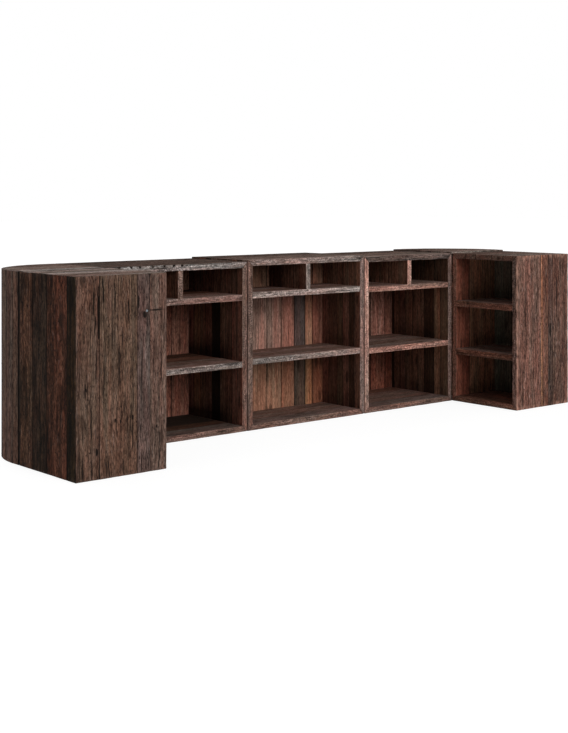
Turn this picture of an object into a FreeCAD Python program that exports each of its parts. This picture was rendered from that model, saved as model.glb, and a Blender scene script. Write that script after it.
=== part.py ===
import FreeCAD, Part
import math
import os

# A bar counter of seven free-standing timber units set in a U, in millimetres.
# +X runs along the counter, +Y points to the guests' side and +Z is up.
# The origin is the middle of the footprint, on the floor.

SIZES = {
    # The whole counter
    "counter_height": 1100,
    "unit_rise": 10,
    "unit_gap": 6,
    "arm_width": 588,
    "end_depth": 614,
    "bay_depth": 620,
    "left_bay_width": 1062,
    "centre_bay_width": 1042,
    "right_bay_width": 896,
    # Board thicknesses
    "board": 40,
    "cladding": 32,
    "inner_back": 20,
    "bay_shelf": 40,
    "end_shelf": 45,
    "divider": 40,
    "plank_gap": 1,
    # Shelf places and inside depths
    "mid_shelf_height": 416,
    "top_row_clear": 172,
    "centre_inside_depth": 390,
    "end_inside_depth": 430,
    # Rounded corner units
    "corner_flat": 38,
    # Joinery
    "housing_depth": 10,
    "housing_stop": 30,
    "divider_housing": 15,
    "spline_width": 26,
    "spline_thickness": 6,
    "spline_stop": 45,
    "dowel_diameter": 20,
    "dowel_depth": 25,
    "dowel_clearance": 0.2,
    "dowel_end_room": 0.8,
    "dowel_setback": 120,
    "dowel_low_height": 220,
    "dowel_high_drop": 340,
    "nail_diameter": 4,
    "nail_length": 70,
}

# Relative plank widths, in order along each unit
CLADDING_SHARES = {
    "left_bay": (8, 6, 9, 5, 8, 7, 9),
    "centre_bay": (9, 7, 5, 8, 10, 6, 7),
    "right_bay": (7, 10, 6, 9, 8, 6),
    "left_end": (3, 7, 5, 5),
    "right_end": (4, 6, 4, 6),
}
INNER_BACK_SHARES = {
    "centre_bay": (15, 15, 14, 13, 12, 10, 7, 10),
    "left_end": (5, 6, 4, 7),
    "right_end": (6, 4, 7, 5),
}
# Nail places: shares of a plank's width, and of the thickness of the board behind it
NAIL_PLACES = (0.25, 0.75)
NAIL_LEVEL = 0.4
STAVES = 9
QUARTER_TURN = 90

doc = FreeCAD.newDocument("bar_counter")
nodes = []


def fill_sheet():
    """Puts the driving dimensions in the sheet, one alias per row."""
    sheet = doc.addObject("Spreadsheet::Sheet", "Sizes")
    for row, (alias, value) in enumerate(SIZES.items(), start=1):
        sheet.set(f"A{row}", alias)
        sheet.set(f"B{row}", str(value))
        sheet.setAlias(f"B{row}", alias)
    doc.recompute()


def size(alias):
    """The expression that reads one driving dimension."""
    return f"Sizes.{alias}"


def plus(first, second):
    """The sum of two expressions."""
    return f"({first} + {second})"


def minus(first, second):
    """The difference of two expressions."""
    return f"({first} - {second})"


def between(low, high, share):
    """The place a share of the way from low to high."""
    return f"({low} * {1 - share:.6f} + {high} * {share:.6f})"


HEIGHT = size("counter_height")
RISE = size("unit_rise")
GAP = size("unit_gap")
ARM = size("arm_width")
BOARD = size("board")
CLADDING = size("cladding")
LENGTH = (
    f"(2 * {ARM} + {size('left_bay_width')} + {size('centre_bay_width')}"
    f" + {size('right_bay_width')} + 4 * {GAP})"
)
DEPTH = plus(size("end_depth"), size("bay_depth"))
FRONT = f"(-1 * {DEPTH} / 2)"
INNER = plus(FRONT, size("end_depth"))
BACK = f"({DEPTH} / 2)"
LEFT_BAY = f"({ARM} + {GAP} - {LENGTH} / 2)"
CENTRE_BAY = f"({LEFT_BAY} + {size('left_bay_width')} + {GAP})"
RIGHT_BAY = f"({CENTRE_BAY} + {size('centre_bay_width')} + {GAP})"
RIGHT_ARM = f"({LENGTH} / 2 - {ARM})"
DOWEL_HEIGHTS = (size("dowel_low_height"), minus(HEIGHT, size("dowel_high_drop")))
# The corner is as round as its unit allows, less a flat stretch at its ends
RADIUS = f"(min({ARM}; {size('bay_depth')} - {GAP}) - {size('corner_flat')})"

# A slab's own Y axis is its thickness; these turns lay it along a world axis
ABOUT = FreeCAD.Vector(1, 1, 1)
TURNS = {
    "X": FreeCAD.Rotation(ABOUT, 240),
    "Y": FreeCAD.Rotation(ABOUT, 0),
    "Z": FreeCAD.Rotation(ABOUT, 120),
}
ACROSS = {"X": ("Z", "Y"), "Y": ("X", "Z"), "Z": ("Y", "X")}
ALONG = {
    ("X", 1): FreeCAD.Rotation(FreeCAD.Vector(0, 1, 0), 90),
    ("X", -1): FreeCAD.Rotation(FreeCAD.Vector(0, 1, 0), -90),
    ("Y", 1): FreeCAD.Rotation(FreeCAD.Vector(1, 0, 0), -90),
    ("Y", -1): FreeCAD.Rotation(FreeCAD.Vector(1, 0, 0), 90),
    ("Z", 1): FreeCAD.Rotation(),
}


def bind(piece, expressions):
    """Ties properties of a piece to expressions."""
    for prop, expression in expressions.items():
        piece.setExpression(prop, str(expression))


def turned(piece, rotation, place):
    """Turns a piece and binds its own origin to three expressions."""
    piece.Placement = FreeCAD.Placement(FreeCAD.Vector(), rotation)
    bind(piece, {f"Placement.Base.{axis}": at for axis, at in zip("xyz", place)})
    return piece


def box(name, spans):
    """A square-edged board over three spans, keyed by axis."""
    piece = doc.addObject("Part::Box", name)
    for side, axis in (("Length", "X"), ("Width", "Y"), ("Height", "Z")):
        low, high = spans[axis]
        bind(piece, {side: minus(high, low)})
    return turned(piece, FreeCAD.Rotation(), [spans[axis][0] for axis in "XYZ"])


def slab(name, axis, low, high):
    """A board between two parallel faces of unlike outline, so that its edges are mitred.

    Each face is a pair: its place on the axis, and its spans along the other two axes.
    """
    piece = doc.addObject("Part::Wedge", name)
    first, second = ACROSS[axis]
    for (place, spans), mark, end in ((low, "", "Ymin"), (high, "2", "Ymax")):
        bind(piece, {end: place})
        bind(piece, {f"X{mark}min": spans[first][0], f"X{mark}max": spans[first][1]})
        bind(piece, {f"Z{mark}min": spans[second][0], f"Z{mark}max": spans[second][1]})
    piece.Placement = FreeCAD.Placement(FreeCAD.Vector(), TURNS[axis])
    return piece


def rod(name, diameter, length, start, rotation):
    """A round rod from a start point along the turned Z axis."""
    piece = doc.addObject("Part::Cylinder", name)
    bind(piece, {"Radius": f"{diameter} / 2", "Height": length})
    return turned(piece, rotation, start)


def group(name, members):
    """Separate solids kept together under one name."""
    piece = doc.addObject("Part::Compound", name)
    piece.Links = members
    return piece


def cut(name, base, tools):
    """A board with the shapes of other pieces taken out of it."""
    piece = doc.addObject("Part::Cut", name)
    piece.Base = base
    piece.Tool = tools[0] if len(tools) == 1 else group(f"{name}_tools", tools)
    return piece


def keep(piece, label):
    """Marks a finished piece, whose label names its file."""
    piece.Label = label
    nodes.append(piece)
    return piece


def planks(low, high, shares):
    """Pairs of places that split a span in the given shares, with a gap between planks."""
    total = sum(shares)
    half_gap = f"{size('plank_gap')} / 2"
    done = 0
    pairs = []
    for share in shares:
        start = between(low, high, done / total)
        done += share
        stop = between(low, high, done / total)
        first = low if not pairs else plus(start, half_gap)
        last = high if done == total else minus(stop, half_gap)
        pairs.append((first, last))
    return pairs


class DowelJoint:
    """Four loose dowels that locate two neighbouring units, and the holes that they sit in."""

    def __init__(self, name, axis, wall, places):
        depth = size("dowel_depth")
        room = size("dowel_end_room")
        bore = plus(size("dowel_diameter"), size("dowel_clearance"))
        length = f"(2 * {depth} + {GAP})"
        self.dowels = []
        holes = []
        for index, place in enumerate(places):
            start = dict(place)
            start[axis] = minus(wall, depth)
            deep = dict(place)
            deep[axis] = f"({wall} - {depth} - {room})"
            turn = ALONG[(axis, 1)]
            self.dowels.append(
                rod(f"{name}_dowel_{index}", size("dowel_diameter"), length, start.values(), turn)
            )
            holes.append(
                rod(f"{name}_hole_{index}", bore, f"({length} + 2 * {room})", deep.values(), turn)
            )
        self.holes = group(f"{name}_holes", holes)


def dowel_joint_along_x(name, wall):
    """Dowels between two units that stand side by side in the back row."""
    depths = (plus(INNER, size("dowel_setback")), minus(BACK, size("dowel_setback")))
    places = [{"X": wall, "Y": y, "Z": z} for y in depths for z in DOWEL_HEIGHTS]
    return DowelJoint(name, "X", wall, places)


def dowel_joint_along_y(name, side):
    """Dowels between an end unit and the corner unit behind it."""
    insets = (size("dowel_setback"), minus(ARM, size("dowel_setback")))
    places = [{"X": x_at(side, inset), "Y": INNER, "Z": z} for inset in insets for z in DOWEL_HEIGHTS]
    return DowelJoint(name, "Y", INNER, places)


def x_at(side, inset):
    """The X place that lies an inset in from one flank of the counter, -1 left or 1 right."""
    return f"({side} * ({LENGTH} / 2 - {inset}))"


def x_span(side, outer, inner):
    """The X span between two insets from one flank."""
    ends = (x_at(side, outer), x_at(side, inner))
    return ends if side < 0 else ends[::-1]


class OpenUnit:
    """A mitred five-sided timber box, open on one side, with shelves let into its walls."""

    def __init__(self, name, across, ends, face, toward, total, rise):
        self.name = name
        self.across = across
        self.low, self.high = ends
        self.depth = "Y" if across == "X" else "X"
        self.face = face
        self.toward = toward
        self.total = total
        self.top = plus(HEIGHT, rise)
        self.inside = minus(total, CLADDING)
        self.clear = (plus(self.low, BOARD), minus(self.high, BOARD))
        self.levels = []
        self.shelves = []
        self.nails = []
        self.splines = []

    def back_at(self, distance):
        """The place a distance behind the open face."""
        return f"({self.face} + {self.toward} * {distance})"

    def back_span(self, near, far):
        """The span between two distances behind the open face."""
        ends = (self.back_at(near), self.back_at(far))
        return ends if self.toward > 0 else ends[::-1]

    def outline(self, inner):
        """The spans of the unit's outer box, or of its clear inside."""
        if inner:
            return {
                self.across: self.clear,
                self.depth: self.back_span("0", minus(self.total, CLADDING)),
                "Z": (BOARD, minus(self.top, BOARD)),
            }
        return {
            self.across: (self.low, self.high),
            self.depth: self.back_span("0", self.total),
            "Z": ("0", self.top),
        }

    def wall(self, name, axis, outer_is_low):
        """One mitred board of the box, whose outer face is the low or the high one on its axis."""
        outer = self.outline(inner=False)
        inner = self.outline(inner=True)
        if outer_is_low:
            return slab(name, axis, (outer[axis][0], outer), (inner[axis][0], inner))
        return slab(name, axis, (inner[axis][1], inner), (outer[axis][1], outer))

    def add_splines(self):
        """A loose tongue across each of the four mitres, stopped short of both ends."""
        width = size("spline_width")
        thick = size("spline_thickness")
        run = self.back_span(
            size("spline_stop"), f"({self.total} - {CLADDING} - {size('spline_stop')})"
        )
        half = f"{BOARD} / 2"
        heights = (half, f"({self.top} - {half})")
        sides = (plus(self.low, half), minus(self.high, half))
        lean = f"sqrt(2) / 4 * ({width} - {thick})"
        reach = f"sqrt(2) / 4 * ({width} + {thick})"
        for side_index, side in enumerate(sides):
            for height_index, height in enumerate(heights):
                rising = side_index != height_index
                piece = doc.addObject("Part::Box", f"{self.name}_spline_{len(self.splines)}")
                if self.across == "X":
                    bind(piece, {"Length": width, "Width": minus(run[1], run[0]), "Height": thick})
                    turn = FreeCAD.Rotation(FreeCAD.Vector(0, 1, 0), -45 if rising else 45)
                else:
                    bind(piece, {"Length": minus(run[1], run[0]), "Width": width, "Height": thick})
                    turn = FreeCAD.Rotation(FreeCAD.Vector(1, 0, 0), 45 if rising else -45)
                place = {self.across: f"{side} - {lean if rising else reach}", self.depth: run[0]}
                upward = f"{height} - {reach}" if rising else f"{height} + {lean}"
                self.splines.append(turned(piece, turn, (place["X"], place["Y"], upward)))

    def add_shelf(self, label, underside, thick):
        """A shelf whose ends sit in stopped housings, with its front corners notched to match."""
        let_in = size("housing_depth")
        stop = size("housing_stop")
        height = (underside, plus(underside, thick))
        long = {
            self.across: (minus(self.clear[0], let_in), plus(self.clear[1], let_in)),
            self.depth: self.back_span(stop, self.inside),
            "Z": height,
        }
        nose = {self.across: self.clear, self.depth: self.back_span("0", stop), "Z": height}
        shelf = doc.addObject("Part::Fuse", f"{label}_blank")
        shelf.Base = box(f"{label}_body", long)
        shelf.Tool = box(f"{label}_nose", nose)
        shelf.Refine = True
        self.levels.append(height)
        self.shelves.append((label, shelf))

    def add_cladding(self, shares):
        """Upright planks on the outer side, mitred round their edge and nailed at shelf height."""
        outer = self.outline(inner=False)
        inner = self.outline(inner=True)
        pairs = planks(self.low, self.high, shares)
        boards = []
        for index, (start, stop) in enumerate(pairs):
            outer_face = dict(outer)
            inner_face = dict(inner)
            outer_face[self.across] = (start, stop)
            inner_start = self.clear[0] if index == 0 else start
            inner_stop = self.clear[1] if index == len(pairs) - 1 else stop
            inner_face[self.across] = (inner_start, inner_stop)
            near = (self.back_at(minus(self.total, CLADDING)), inner_face)
            far = (self.back_at(self.total), outer_face)
            low, high = (near, far) if self.toward > 0 else (far, near)
            boards.append(slab(f"{self.name}_plank_{index}", self.depth, low, high))
            for share in NAIL_PLACES:
                self.nail_plank(between(inner_start, inner_stop, share))
        self.nail_tool = group(f"{self.name}_nails", self.nails)
        planked = group(f"{self.name}_planks", boards)
        keep(cut(f"{self.name}_cladding", planked, [self.nail_tool]), f"{self.name}_cladding")

    def nail_plank(self, place):
        """One nail at each shelf level, driven inwards from the outer face."""
        for height in self.levels:
            start = {
                self.across: place,
                self.depth: self.back_at(self.total),
                "Z": between(height[0], height[1], NAIL_LEVEL),
            }
            self.nails.append(
                rod(
                    f"{self.name}_nail_{len(self.nails)}",
                    size("nail_diameter"),
                    size("nail_length"),
                    (start["X"], start["Y"], start["Z"]),
                    ALONG[(self.depth, -self.toward)],
                )
            )

    def add_inner_back(self, inside, shares):
        """An inner back of upright planks, in front of a closed space for services."""
        self.inside = inside
        thick = size("inner_back")
        boards = []
        for index, pair in enumerate(planks(*self.clear, shares)):
            spans = {
                self.across: pair,
                self.depth: self.back_span(inside, plus(inside, thick)),
                "Z": (BOARD, minus(self.top, BOARD)),
            }
            boards.append(box(f"{self.name}_back_plank_{index}", spans))
        keep(group(f"{self.name}_inner_back", boards), f"{self.name}_inner_back")

    def add_spacers(self):
        """Hidden rails behind the inner back, which carry it and take the cladding's nails."""
        near = plus(self.inside, size("inner_back"))
        rails = []
        for index, height in enumerate(self.levels):
            spans = {
                self.across: self.clear,
                self.depth: self.back_span(near, minus(self.total, CLADDING)),
                "Z": height,
            }
            rails.append(box(f"{self.name}_rail_{index}", spans))
        blank = group(f"{self.name}_rails", rails)
        keep(cut(f"{self.name}_spacer_rails", blank, [self.nail_tool]), f"{self.name}_spacer_rails")

    def add_carcass(self, low_label, high_label, low_holes, high_holes, dividers):
        """The four mitred walls and the shelves, each cut for what is let into it."""
        shelves = [shelf for _, shelf in self.shelves]
        low_wall = self.wall(f"{low_label}_blank", self.across, outer_is_low=True)
        keep(cut(low_label, low_wall, [*self.splines, *shelves, *low_holes]), low_label)
        high_wall = self.wall(f"{high_label}_blank", self.across, outer_is_low=False)
        keep(cut(high_label, high_wall, [*self.splines, *shelves, *high_holes]), high_label)
        top_label = f"{self.name}_top"
        top = self.wall(f"{top_label}_blank", "Z", outer_is_low=False)
        keep(cut(top_label, top, [*self.splines, *dividers]), top_label)
        bottom_label = f"{self.name}_bottom"
        bottom = self.wall(f"{bottom_label}_blank", "Z", outer_is_low=True)
        keep(cut(bottom_label, bottom, self.splines), bottom_label)
        for label, shelf in self.shelves:
            keep(cut(label, shelf, [self.nail_tool, *dividers]), label)


def build_bay(name, left, rise, left_holes, right_holes, inside=None):
    """An open bay of the back row: two full shelves and a divider above the upper one."""
    ends = (left, plus(left, size(f"{name}_width")))
    bay = OpenUnit(name, "X", ends, INNER, 1, size("bay_depth"), rise)
    if inside:
        bay.add_inner_back(inside, INNER_BACK_SHARES[name])
    bay.add_splines()
    shelf = size("bay_shelf")
    upper = f"({bay.top} - {BOARD} - {size('top_row_clear')} - {shelf})"
    bay.add_shelf(f"{name}_mid_shelf", plus(size("mid_shelf_height"), rise), shelf)
    bay.add_shelf(f"{name}_upper_shelf", upper, shelf)
    bay.add_cladding(CLADDING_SHARES[name])
    if inside:
        bay.add_spacers()
    let_in = size("divider_housing")
    middle = between(*ends, 0.5)
    half = f"{size('divider')} / 2"
    spans = {
        "X": (minus(middle, half), plus(middle, half)),
        "Y": bay.back_span("0", bay.inside),
        "Z": (f"({upper} + {shelf} - {let_in})", f"({bay.top} - {BOARD} + {let_in})"),
    }
    divider = keep(box(f"{name}_divider", spans), f"{name}_divider")
    bay.add_carcass(
        f"{name}_left_side", f"{name}_right_side", [left_holes], [right_holes], [divider]
    )
    return bay


def build_end(name, side, holes):
    """An end unit of one arm, open towards the inside of the U, with three equal compartments."""
    ends = (FRONT, INNER)
    end = OpenUnit(name, "Y", ends, x_at(side, ARM), side, ARM, "0")
    end.add_inner_back(size("end_inside_depth"), INNER_BACK_SHARES[name])
    end.add_splines()
    shelf = size("end_shelf")
    clear = f"(({HEIGHT} - 2 * {BOARD} - 2 * {shelf}) / 3)"
    end.add_shelf(f"{name}_lower_shelf", plus(BOARD, clear), shelf)
    end.add_shelf(f"{name}_upper_shelf", f"({BOARD} + 2 * {clear} + {shelf})", shelf)
    end.add_cladding(CLADDING_SHARES[name])
    end.add_spacers()
    end.add_carcass(f"{name}_panel", f"{name}_corner_side", [], [holes], [])
    return end


def build_corner(name, side, rise, holes):
    """A closed corner unit: three plates and two flat walls inside a skin of rounded staves."""
    top = plus(HEIGHT, rise)
    start = plus(INNER, GAP)
    skin = minus(BACK, CLADDING)
    centre = (x_at(side, RADIUS), minus(BACK, RADIUS), "0")
    upright = FreeCAD.Rotation()
    inner_diameter = f"(2 * {RADIUS} - 2 * {CLADDING})"
    core = rod(f"{name}_core", inner_diameter, top, centre, upright)
    full_height = ("0", top)
    block = {"X": x_span(side, "0", RADIUS), "Y": (centre[1], BACK), "Z": full_height}
    waste = cut(f"{name}_waste", box(f"{name}_block", block), [core])

    rib = f"(({HEIGHT} - {BOARD}) / 2)"
    plates = {
        f"{name}_bottom": ("0", BOARD),
        f"{name}_rib": (rib, plus(rib, BOARD)),
        f"{name}_top": (minus(top, BOARD), top),
    }
    first_angle = 0 if side > 0 else QUARTER_TURN
    step = QUARTER_TURN / STAVES
    gap_angle = f"{size('plank_gap')} / {RADIUS} * 180 / pi"
    flank = {"X": x_span(side, "0", CLADDING), "Y": (start, centre[1]), "Z": full_height}
    rear = {"X": x_span(side, RADIUS, ARM), "Y": (skin, BACK), "Z": full_height}
    boards = [box(f"{name}_flank_strip", flank), box(f"{name}_back_strip", rear)]
    nails = []
    for index in range(STAVES):
        angle = first_angle + index * step
        sector = rod(
            f"{name}_sector_{index}",
            f"(2 * {RADIUS})",
            top,
            centre,
            FreeCAD.Rotation(FreeCAD.Vector(0, 0, 1), angle),
        )
        bind(sector, {"Angle": f"{step} - {gap_angle}"})
        boards.append(cut(f"{name}_stave_{index}", sector, [core]))
        middle = math.radians(angle + step / 2)
        turn = FreeCAD.Rotation(FreeCAD.Vector(0, 0, 1), angle + step / 2)
        for height in plates.values():
            place = (
                f"({centre[0]} + {RADIUS} * {math.cos(middle):.6f})",
                f"({centre[1]} + {RADIUS} * {math.sin(middle):.6f})",
                between(*height, NAIL_LEVEL),
            )
            nails.append(
                rod(
                    f"{name}_nail_{len(nails)}",
                    size("nail_diameter"),
                    size("nail_length"),
                    place,
                    turn.multiply(ALONG[("X", -1)]),
                )
            )
    nail_tool = group(f"{name}_nails", nails)
    planked = group(f"{name}_boards", boards)
    keep(cut(f"{name}_staves", planked, [nail_tool]), f"{name}_staves")

    rib_label = f"{name}_rib"
    for label, height in plates.items():
        inner_edge = minus(ARM, BOARD) if label == rib_label else ARM
        front_edge = plus(start, BOARD) if label == rib_label else start
        spans = {"X": x_span(side, CLADDING, inner_edge), "Y": (front_edge, skin), "Z": height}
        keep(cut(label, box(f"{label}_blank", spans), [waste, nail_tool]), label)

    upright_span = (BOARD, minus(top, BOARD))
    end_wall = {
        "X": x_span(side, CLADDING, ARM),
        "Y": (start, plus(start, BOARD)),
        "Z": upright_span,
    }
    bay_wall = {
        "X": x_span(side, minus(ARM, BOARD), ARM),
        "Y": (plus(start, BOARD), skin),
        "Z": upright_span,
    }
    for label, spans, hole in (
        (f"{name}_end_wall", end_wall, holes["end"]),
        (f"{name}_bay_wall", bay_wall, holes["bay"]),
    ):
        keep(cut(label, box(f"{label}_blank", spans), [waste, hole]), label)
    return nails


def build_counter():
    """Builds the seven units, then the joinery that is shared by them."""
    joints = {
        "left_arm": dowel_joint_along_y("left_arm", -1),
        "left_corner": dowel_joint_along_x("left_corner", minus(LEFT_BAY, GAP)),
        "left_centre": dowel_joint_along_x("left_centre", minus(CENTRE_BAY, GAP)),
        "right_centre": dowel_joint_along_x("right_centre", minus(RIGHT_BAY, GAP)),
        "right_corner": dowel_joint_along_x("right_corner", minus(RIGHT_ARM, GAP)),
        "right_arm": dowel_joint_along_y("right_arm", 1),
    }
    holes = {name: joint.holes for name, joint in joints.items()}
    inside = size("centre_inside_depth")
    units = [
        build_end("left_end", -1, holes["left_arm"]),
        build_bay("left_bay", LEFT_BAY, "0", holes["left_corner"], holes["left_centre"]),
        build_bay("centre_bay", CENTRE_BAY, RISE, holes["left_centre"], holes["right_centre"], inside),
        build_bay("right_bay", RIGHT_BAY, "0", holes["right_centre"], holes["right_corner"]),
        build_end("right_end", 1, holes["right_arm"]),
    ]
    nails = [nail for unit in units for nail in unit.nails]
    left_holes = {"end": holes["left_arm"], "bay": holes["left_corner"]}
    right_holes = {"end": holes["right_arm"], "bay": holes["right_corner"]}
    nails += build_corner("left_corner", -1, "0", left_holes)
    nails += build_corner("right_corner", 1, RISE, right_holes)
    splines = [spline for unit in units for spline in unit.splines]
    dowels = [dowel for joint in joints.values() for dowel in joint.dowels]
    keep(group("mitre_splines", splines), "mitre_splines")
    keep(group("locating_dowels", dowels), "locating_dowels")
    keep(group("cladding_nails", nails), "cladding_nails")


def check_document():
    """Stops the build if any object failed or any finished piece has no sound shape."""
    for piece in doc.Objects:
        if "Invalid" in piece.State or "Error" in piece.State:
            raise RuntimeError(f"{piece.Label} did not compute: {piece.State}")
    for piece in nodes:
        if piece.Shape.isNull() or not piece.Shape.isValid() or not piece.Shape.Solids:
            raise RuntimeError(f"{piece.Label} has no sound shape")


def write_parts():
    """Writes each finished piece to its own file and prints its solids and volume."""
    os.makedirs("parts", exist_ok=True)
    for piece in nodes:
        piece.Shape.exportStep(f"parts/{piece.Label}.step")
        litres = piece.Shape.Volume / 1e6
        print(f"{piece.Label}: {len(piece.Shape.Solids)} solids, {litres:.2f} l")


fill_sheet()
build_counter()
doc.recompute()
check_document()
write_parts()
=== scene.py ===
"""Looks of a U-shaped bar counter in dark reclaimed timber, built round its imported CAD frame."""

import logging
import math
import random
from dataclasses import dataclass, field, replace
from enum import Enum
from functools import partial, reduce
from typing import Iterable, Optional, Sequence

import bpy
import numpy as np
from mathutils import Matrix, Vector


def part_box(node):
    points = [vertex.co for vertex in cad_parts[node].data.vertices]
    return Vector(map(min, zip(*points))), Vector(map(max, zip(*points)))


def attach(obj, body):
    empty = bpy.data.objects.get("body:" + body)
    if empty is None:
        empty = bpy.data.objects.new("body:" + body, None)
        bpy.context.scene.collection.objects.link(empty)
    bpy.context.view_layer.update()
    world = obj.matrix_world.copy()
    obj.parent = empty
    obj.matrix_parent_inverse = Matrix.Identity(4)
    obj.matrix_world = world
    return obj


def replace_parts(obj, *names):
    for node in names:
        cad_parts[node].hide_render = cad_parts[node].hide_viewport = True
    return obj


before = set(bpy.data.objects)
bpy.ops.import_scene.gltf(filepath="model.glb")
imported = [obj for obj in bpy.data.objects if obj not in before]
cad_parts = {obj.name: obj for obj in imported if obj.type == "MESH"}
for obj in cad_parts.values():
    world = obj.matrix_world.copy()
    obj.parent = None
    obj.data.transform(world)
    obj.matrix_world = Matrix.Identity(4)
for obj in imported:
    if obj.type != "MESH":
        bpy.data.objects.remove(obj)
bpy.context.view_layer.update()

LOG = logging.getLogger("bar_counter")
BODY = "root"
X, Y, Z = 0, 1, 2
LOW, HIGH = 0, 1

# Shapes of a plank, in metres
ARRIS = 0.0014
ARRIS_SHARE = 0.4
OFF_FACE = ARRIS * 0.3
ON_EDGE = ARRIS * 1.1
EDGE_STATIONS = (0.003, 0.007)
STATION_SHARE = 0.3
STATION_STEPS = 3
THICKNESS_STEP = 0.012
UNIT_ROUND = 0.0055
UNIT_ROUND_SPREAD = 0.0035
GLUE_LINE = 0.0002
STAVE_JOINT = 0.0005
OPEN_JOINT = 0.0008
WIDE_JOINT = 0.0016
TONGUE_DEPTH = 0.006
TONGUE_SHARE = 0.95
SHELF_TONGUE = 0.008
SHELF_COVER = 0.010
FLAT = 1e-5
TINY = 1e-9
ARC_END = 0.9999

# Steps between the patterns of planks, and of a plank's marks
SEED_STEP = 17
MARK_SEEDS = 11

# Relief of a plank: depths in metres, and cells per metre along, across and through it
WARP_CELLS = (2.3, 13.0)
WARP_DEPTH = 0.0004
FIBRE_CELLS = (5.0, 110.0)
FIBRE_DEPTH = 0.0003
CHIP_CELLS = (19.0, 23.0, 40.0)
CHIP_DEPTH = 0.0035
CHIP_START = 0.25
DRIFT_CELLS = (9.0, 38.0, 50.0)
DRIFT_FINE = 0.6
MARK_TIP = 0.35
MARK_FADE = 3.0
RUB_CELLS = (7.0, 31.0)
RUB_SHARES = (0.6, 0.4)

# How far wear and dark lines reach, in metres, and how strong they are
WEAR_REACH = 0.010
ARRIS_WEAR = 0.0035
PLANK_WEAR = 0.8
SEAM_REACH = 0.008
SEAM_LEAST = 0.5
TOP_SEAM = 2.5
JOINT_REACH = 0.0024
JOINT_GAPS = 3.0
JOINT_EVEN = 0.75
JOINT_CELLS = 3.1
MITRE_DARK = 0.8

# Where a plank's heart lay: range along it, across it in widths, and under its face
PITH = ((0.0, 30.0), (-0.3, 1.3), (0.03, 0.12))

# How painted shade lies in the low back corners of the compartments
CORNER_SHADE_START = 0.02
CORNER_SHADE_REACH = 0.18
CORNER_SHADE_HEIGHT = 0.11
CORNER_SHADE_FULL = 1.3
CORNER_SHADE_MOST = 0.88

# Tints of the timber's hues and stains, and shares of its light that rings, splits and ends leave
WARM = (1.12, 0.95, 0.93)
COOL = (0.92, 1.02, 1.03)
STAINED = (0.32, 0.30, 0.28)
RING_LIGHT = 0.45
SPLIT_LIGHT = 0.12
END_LIGHT = 0.5

# Ranges of the figure over which the timber's light changes, and how far mottling and saw marks change it
STREAK_RANGE = (0.32, 0.68)
FINE_RANGE = (0.30, 0.70)
MOTTLE_LIGHT = (0.78, 1.22)
BLOOM_RANGE = (0.42, 0.66)
SAW_RANGE = (0.1, 0.9)
SAW_LIGHT = (0.6, 1.3)
RUBBED_RANGE = (0.0, 0.8)

# How much calmer linings and sawn edges are, and how dark pits, stains, ends and cracks are
LINING_CALM = 0.35
EDGE_CALM = 0.6
PIT_DARK = 0.8
STAIN_DARK = 0.55
END_DARK = 0.35
CORE_RANGE = (0.34, 0.58)
CORE_DARK = 0.95
CRACK_DARK = 0.45

# How high streaks and saw marks stand, and how deep splits and holes go, as shares of the relief
STREAK_HEIGHT = 0.8
SAW_HEIGHT = 0.4
SPLIT_DEPTH = 1.2
HOLE_DEPTH = 2.0

# How grey and how bright pale flecks are, how grey dusty edges are, and how weathered hidden timber is
FLECK_FADE = (0.6, 1.8)
DUSTY = 0.45
SOLID_WEATHERING = 0.5

# How far the figure and the drying cracks sway, in metres; growth rings per metre, and where each darkens
FIGURE_SWAY = 0.05
CHECK_SWAY = 0.03
RINGS = 120.0
RING_RANGE = (0.25, 1.0)

# Slant, radians per metre and sway of saw marks; room in telling faces apart; middle of a noise
SAW_SLANT = 0.55
SAW_PITCH = 380.0
SAW_SWAY = 22.0
KIND_ROOM = 0.1
MIDDLE = 0.5

# Knots and nail holes: cells per metre with the share that has one, ragged edges, and where each mark fades
FALLING = (1.0, 0.0)
KNOT_CELLS = ((4.0, 13.0, 13.0), 0.22)
NAIL_CELLS = ((9.0, 15.0, 15.0), 0.16)
KNOT_RAGGED = 0.22
KNOT_FADE = (0.10, 0.27, FALLING)
HOLE_FADE = (0.028, 0.045, FALLING)
STAIN_FADE = (0.05, 0.33, FALLING)
CHECK_FADE = (0.012, 0.050, FALLING)

# Ranges of the nails' crust over which metal gives way and roughness grows, with the values
CRUST_METAL = (0.40, 0.55, (0.8, 0.05))
CRUST_ROUGH = (0.35, 0.65, (0.5, 0.9))

# Linear colours of what is dark or rusty in the timber
IRON_STAIN = (0.012, 0.009, 0.009, 1.0)
KNOT_BROWN = (0.018, 0.009, 0.006, 1.0)
CRACK_BLACK = (0.008, 0.006, 0.005, 1.0)
CHECK_BLACK = (0.009, 0.006, 0.005, 1.0)
HOLE_BLACK = (0.004, 0.003, 0.003, 1.0)
RUST_CRUST = (0.070, 0.026, 0.012, 1.0)

# The floor: its grey, the share of its own white, how bright that is, and half its width in metres
FLOOR_GREY = (0.60, 0.60, 0.60, 1.0)
FLOOR_GLOW = 0.62
FLOOR_WHITE = 1.40
FLOOR_HALF = 60.0
WHITE = (1.0, 1.0, 1.0, 1.0)

# Numbers that scatter the corners' values in the smooth noise
HASH_STEPS = (374761393, 668265263, 974711)
HASH_MIX = 1274126177
HASH_MASK = 0x7FFFFFFF


class Detail(Enum):
    """How close a plank's mesh lines are, along and across the grain, in metres."""

    FINE = (0.009, 0.0035)
    FRONT = (0.008, 0.010)
    PLAIN = (0.024, 0.010)
    COARSE = (0.060, 0.026)
    INSIDE = (0.020, 0.026)


class Side(Enum):
    """Faces of a plank, as the number that the finishes read."""

    FACE = 0.0
    LINING = 0.25
    EDGE = 0.5
    END = 1.0


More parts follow.
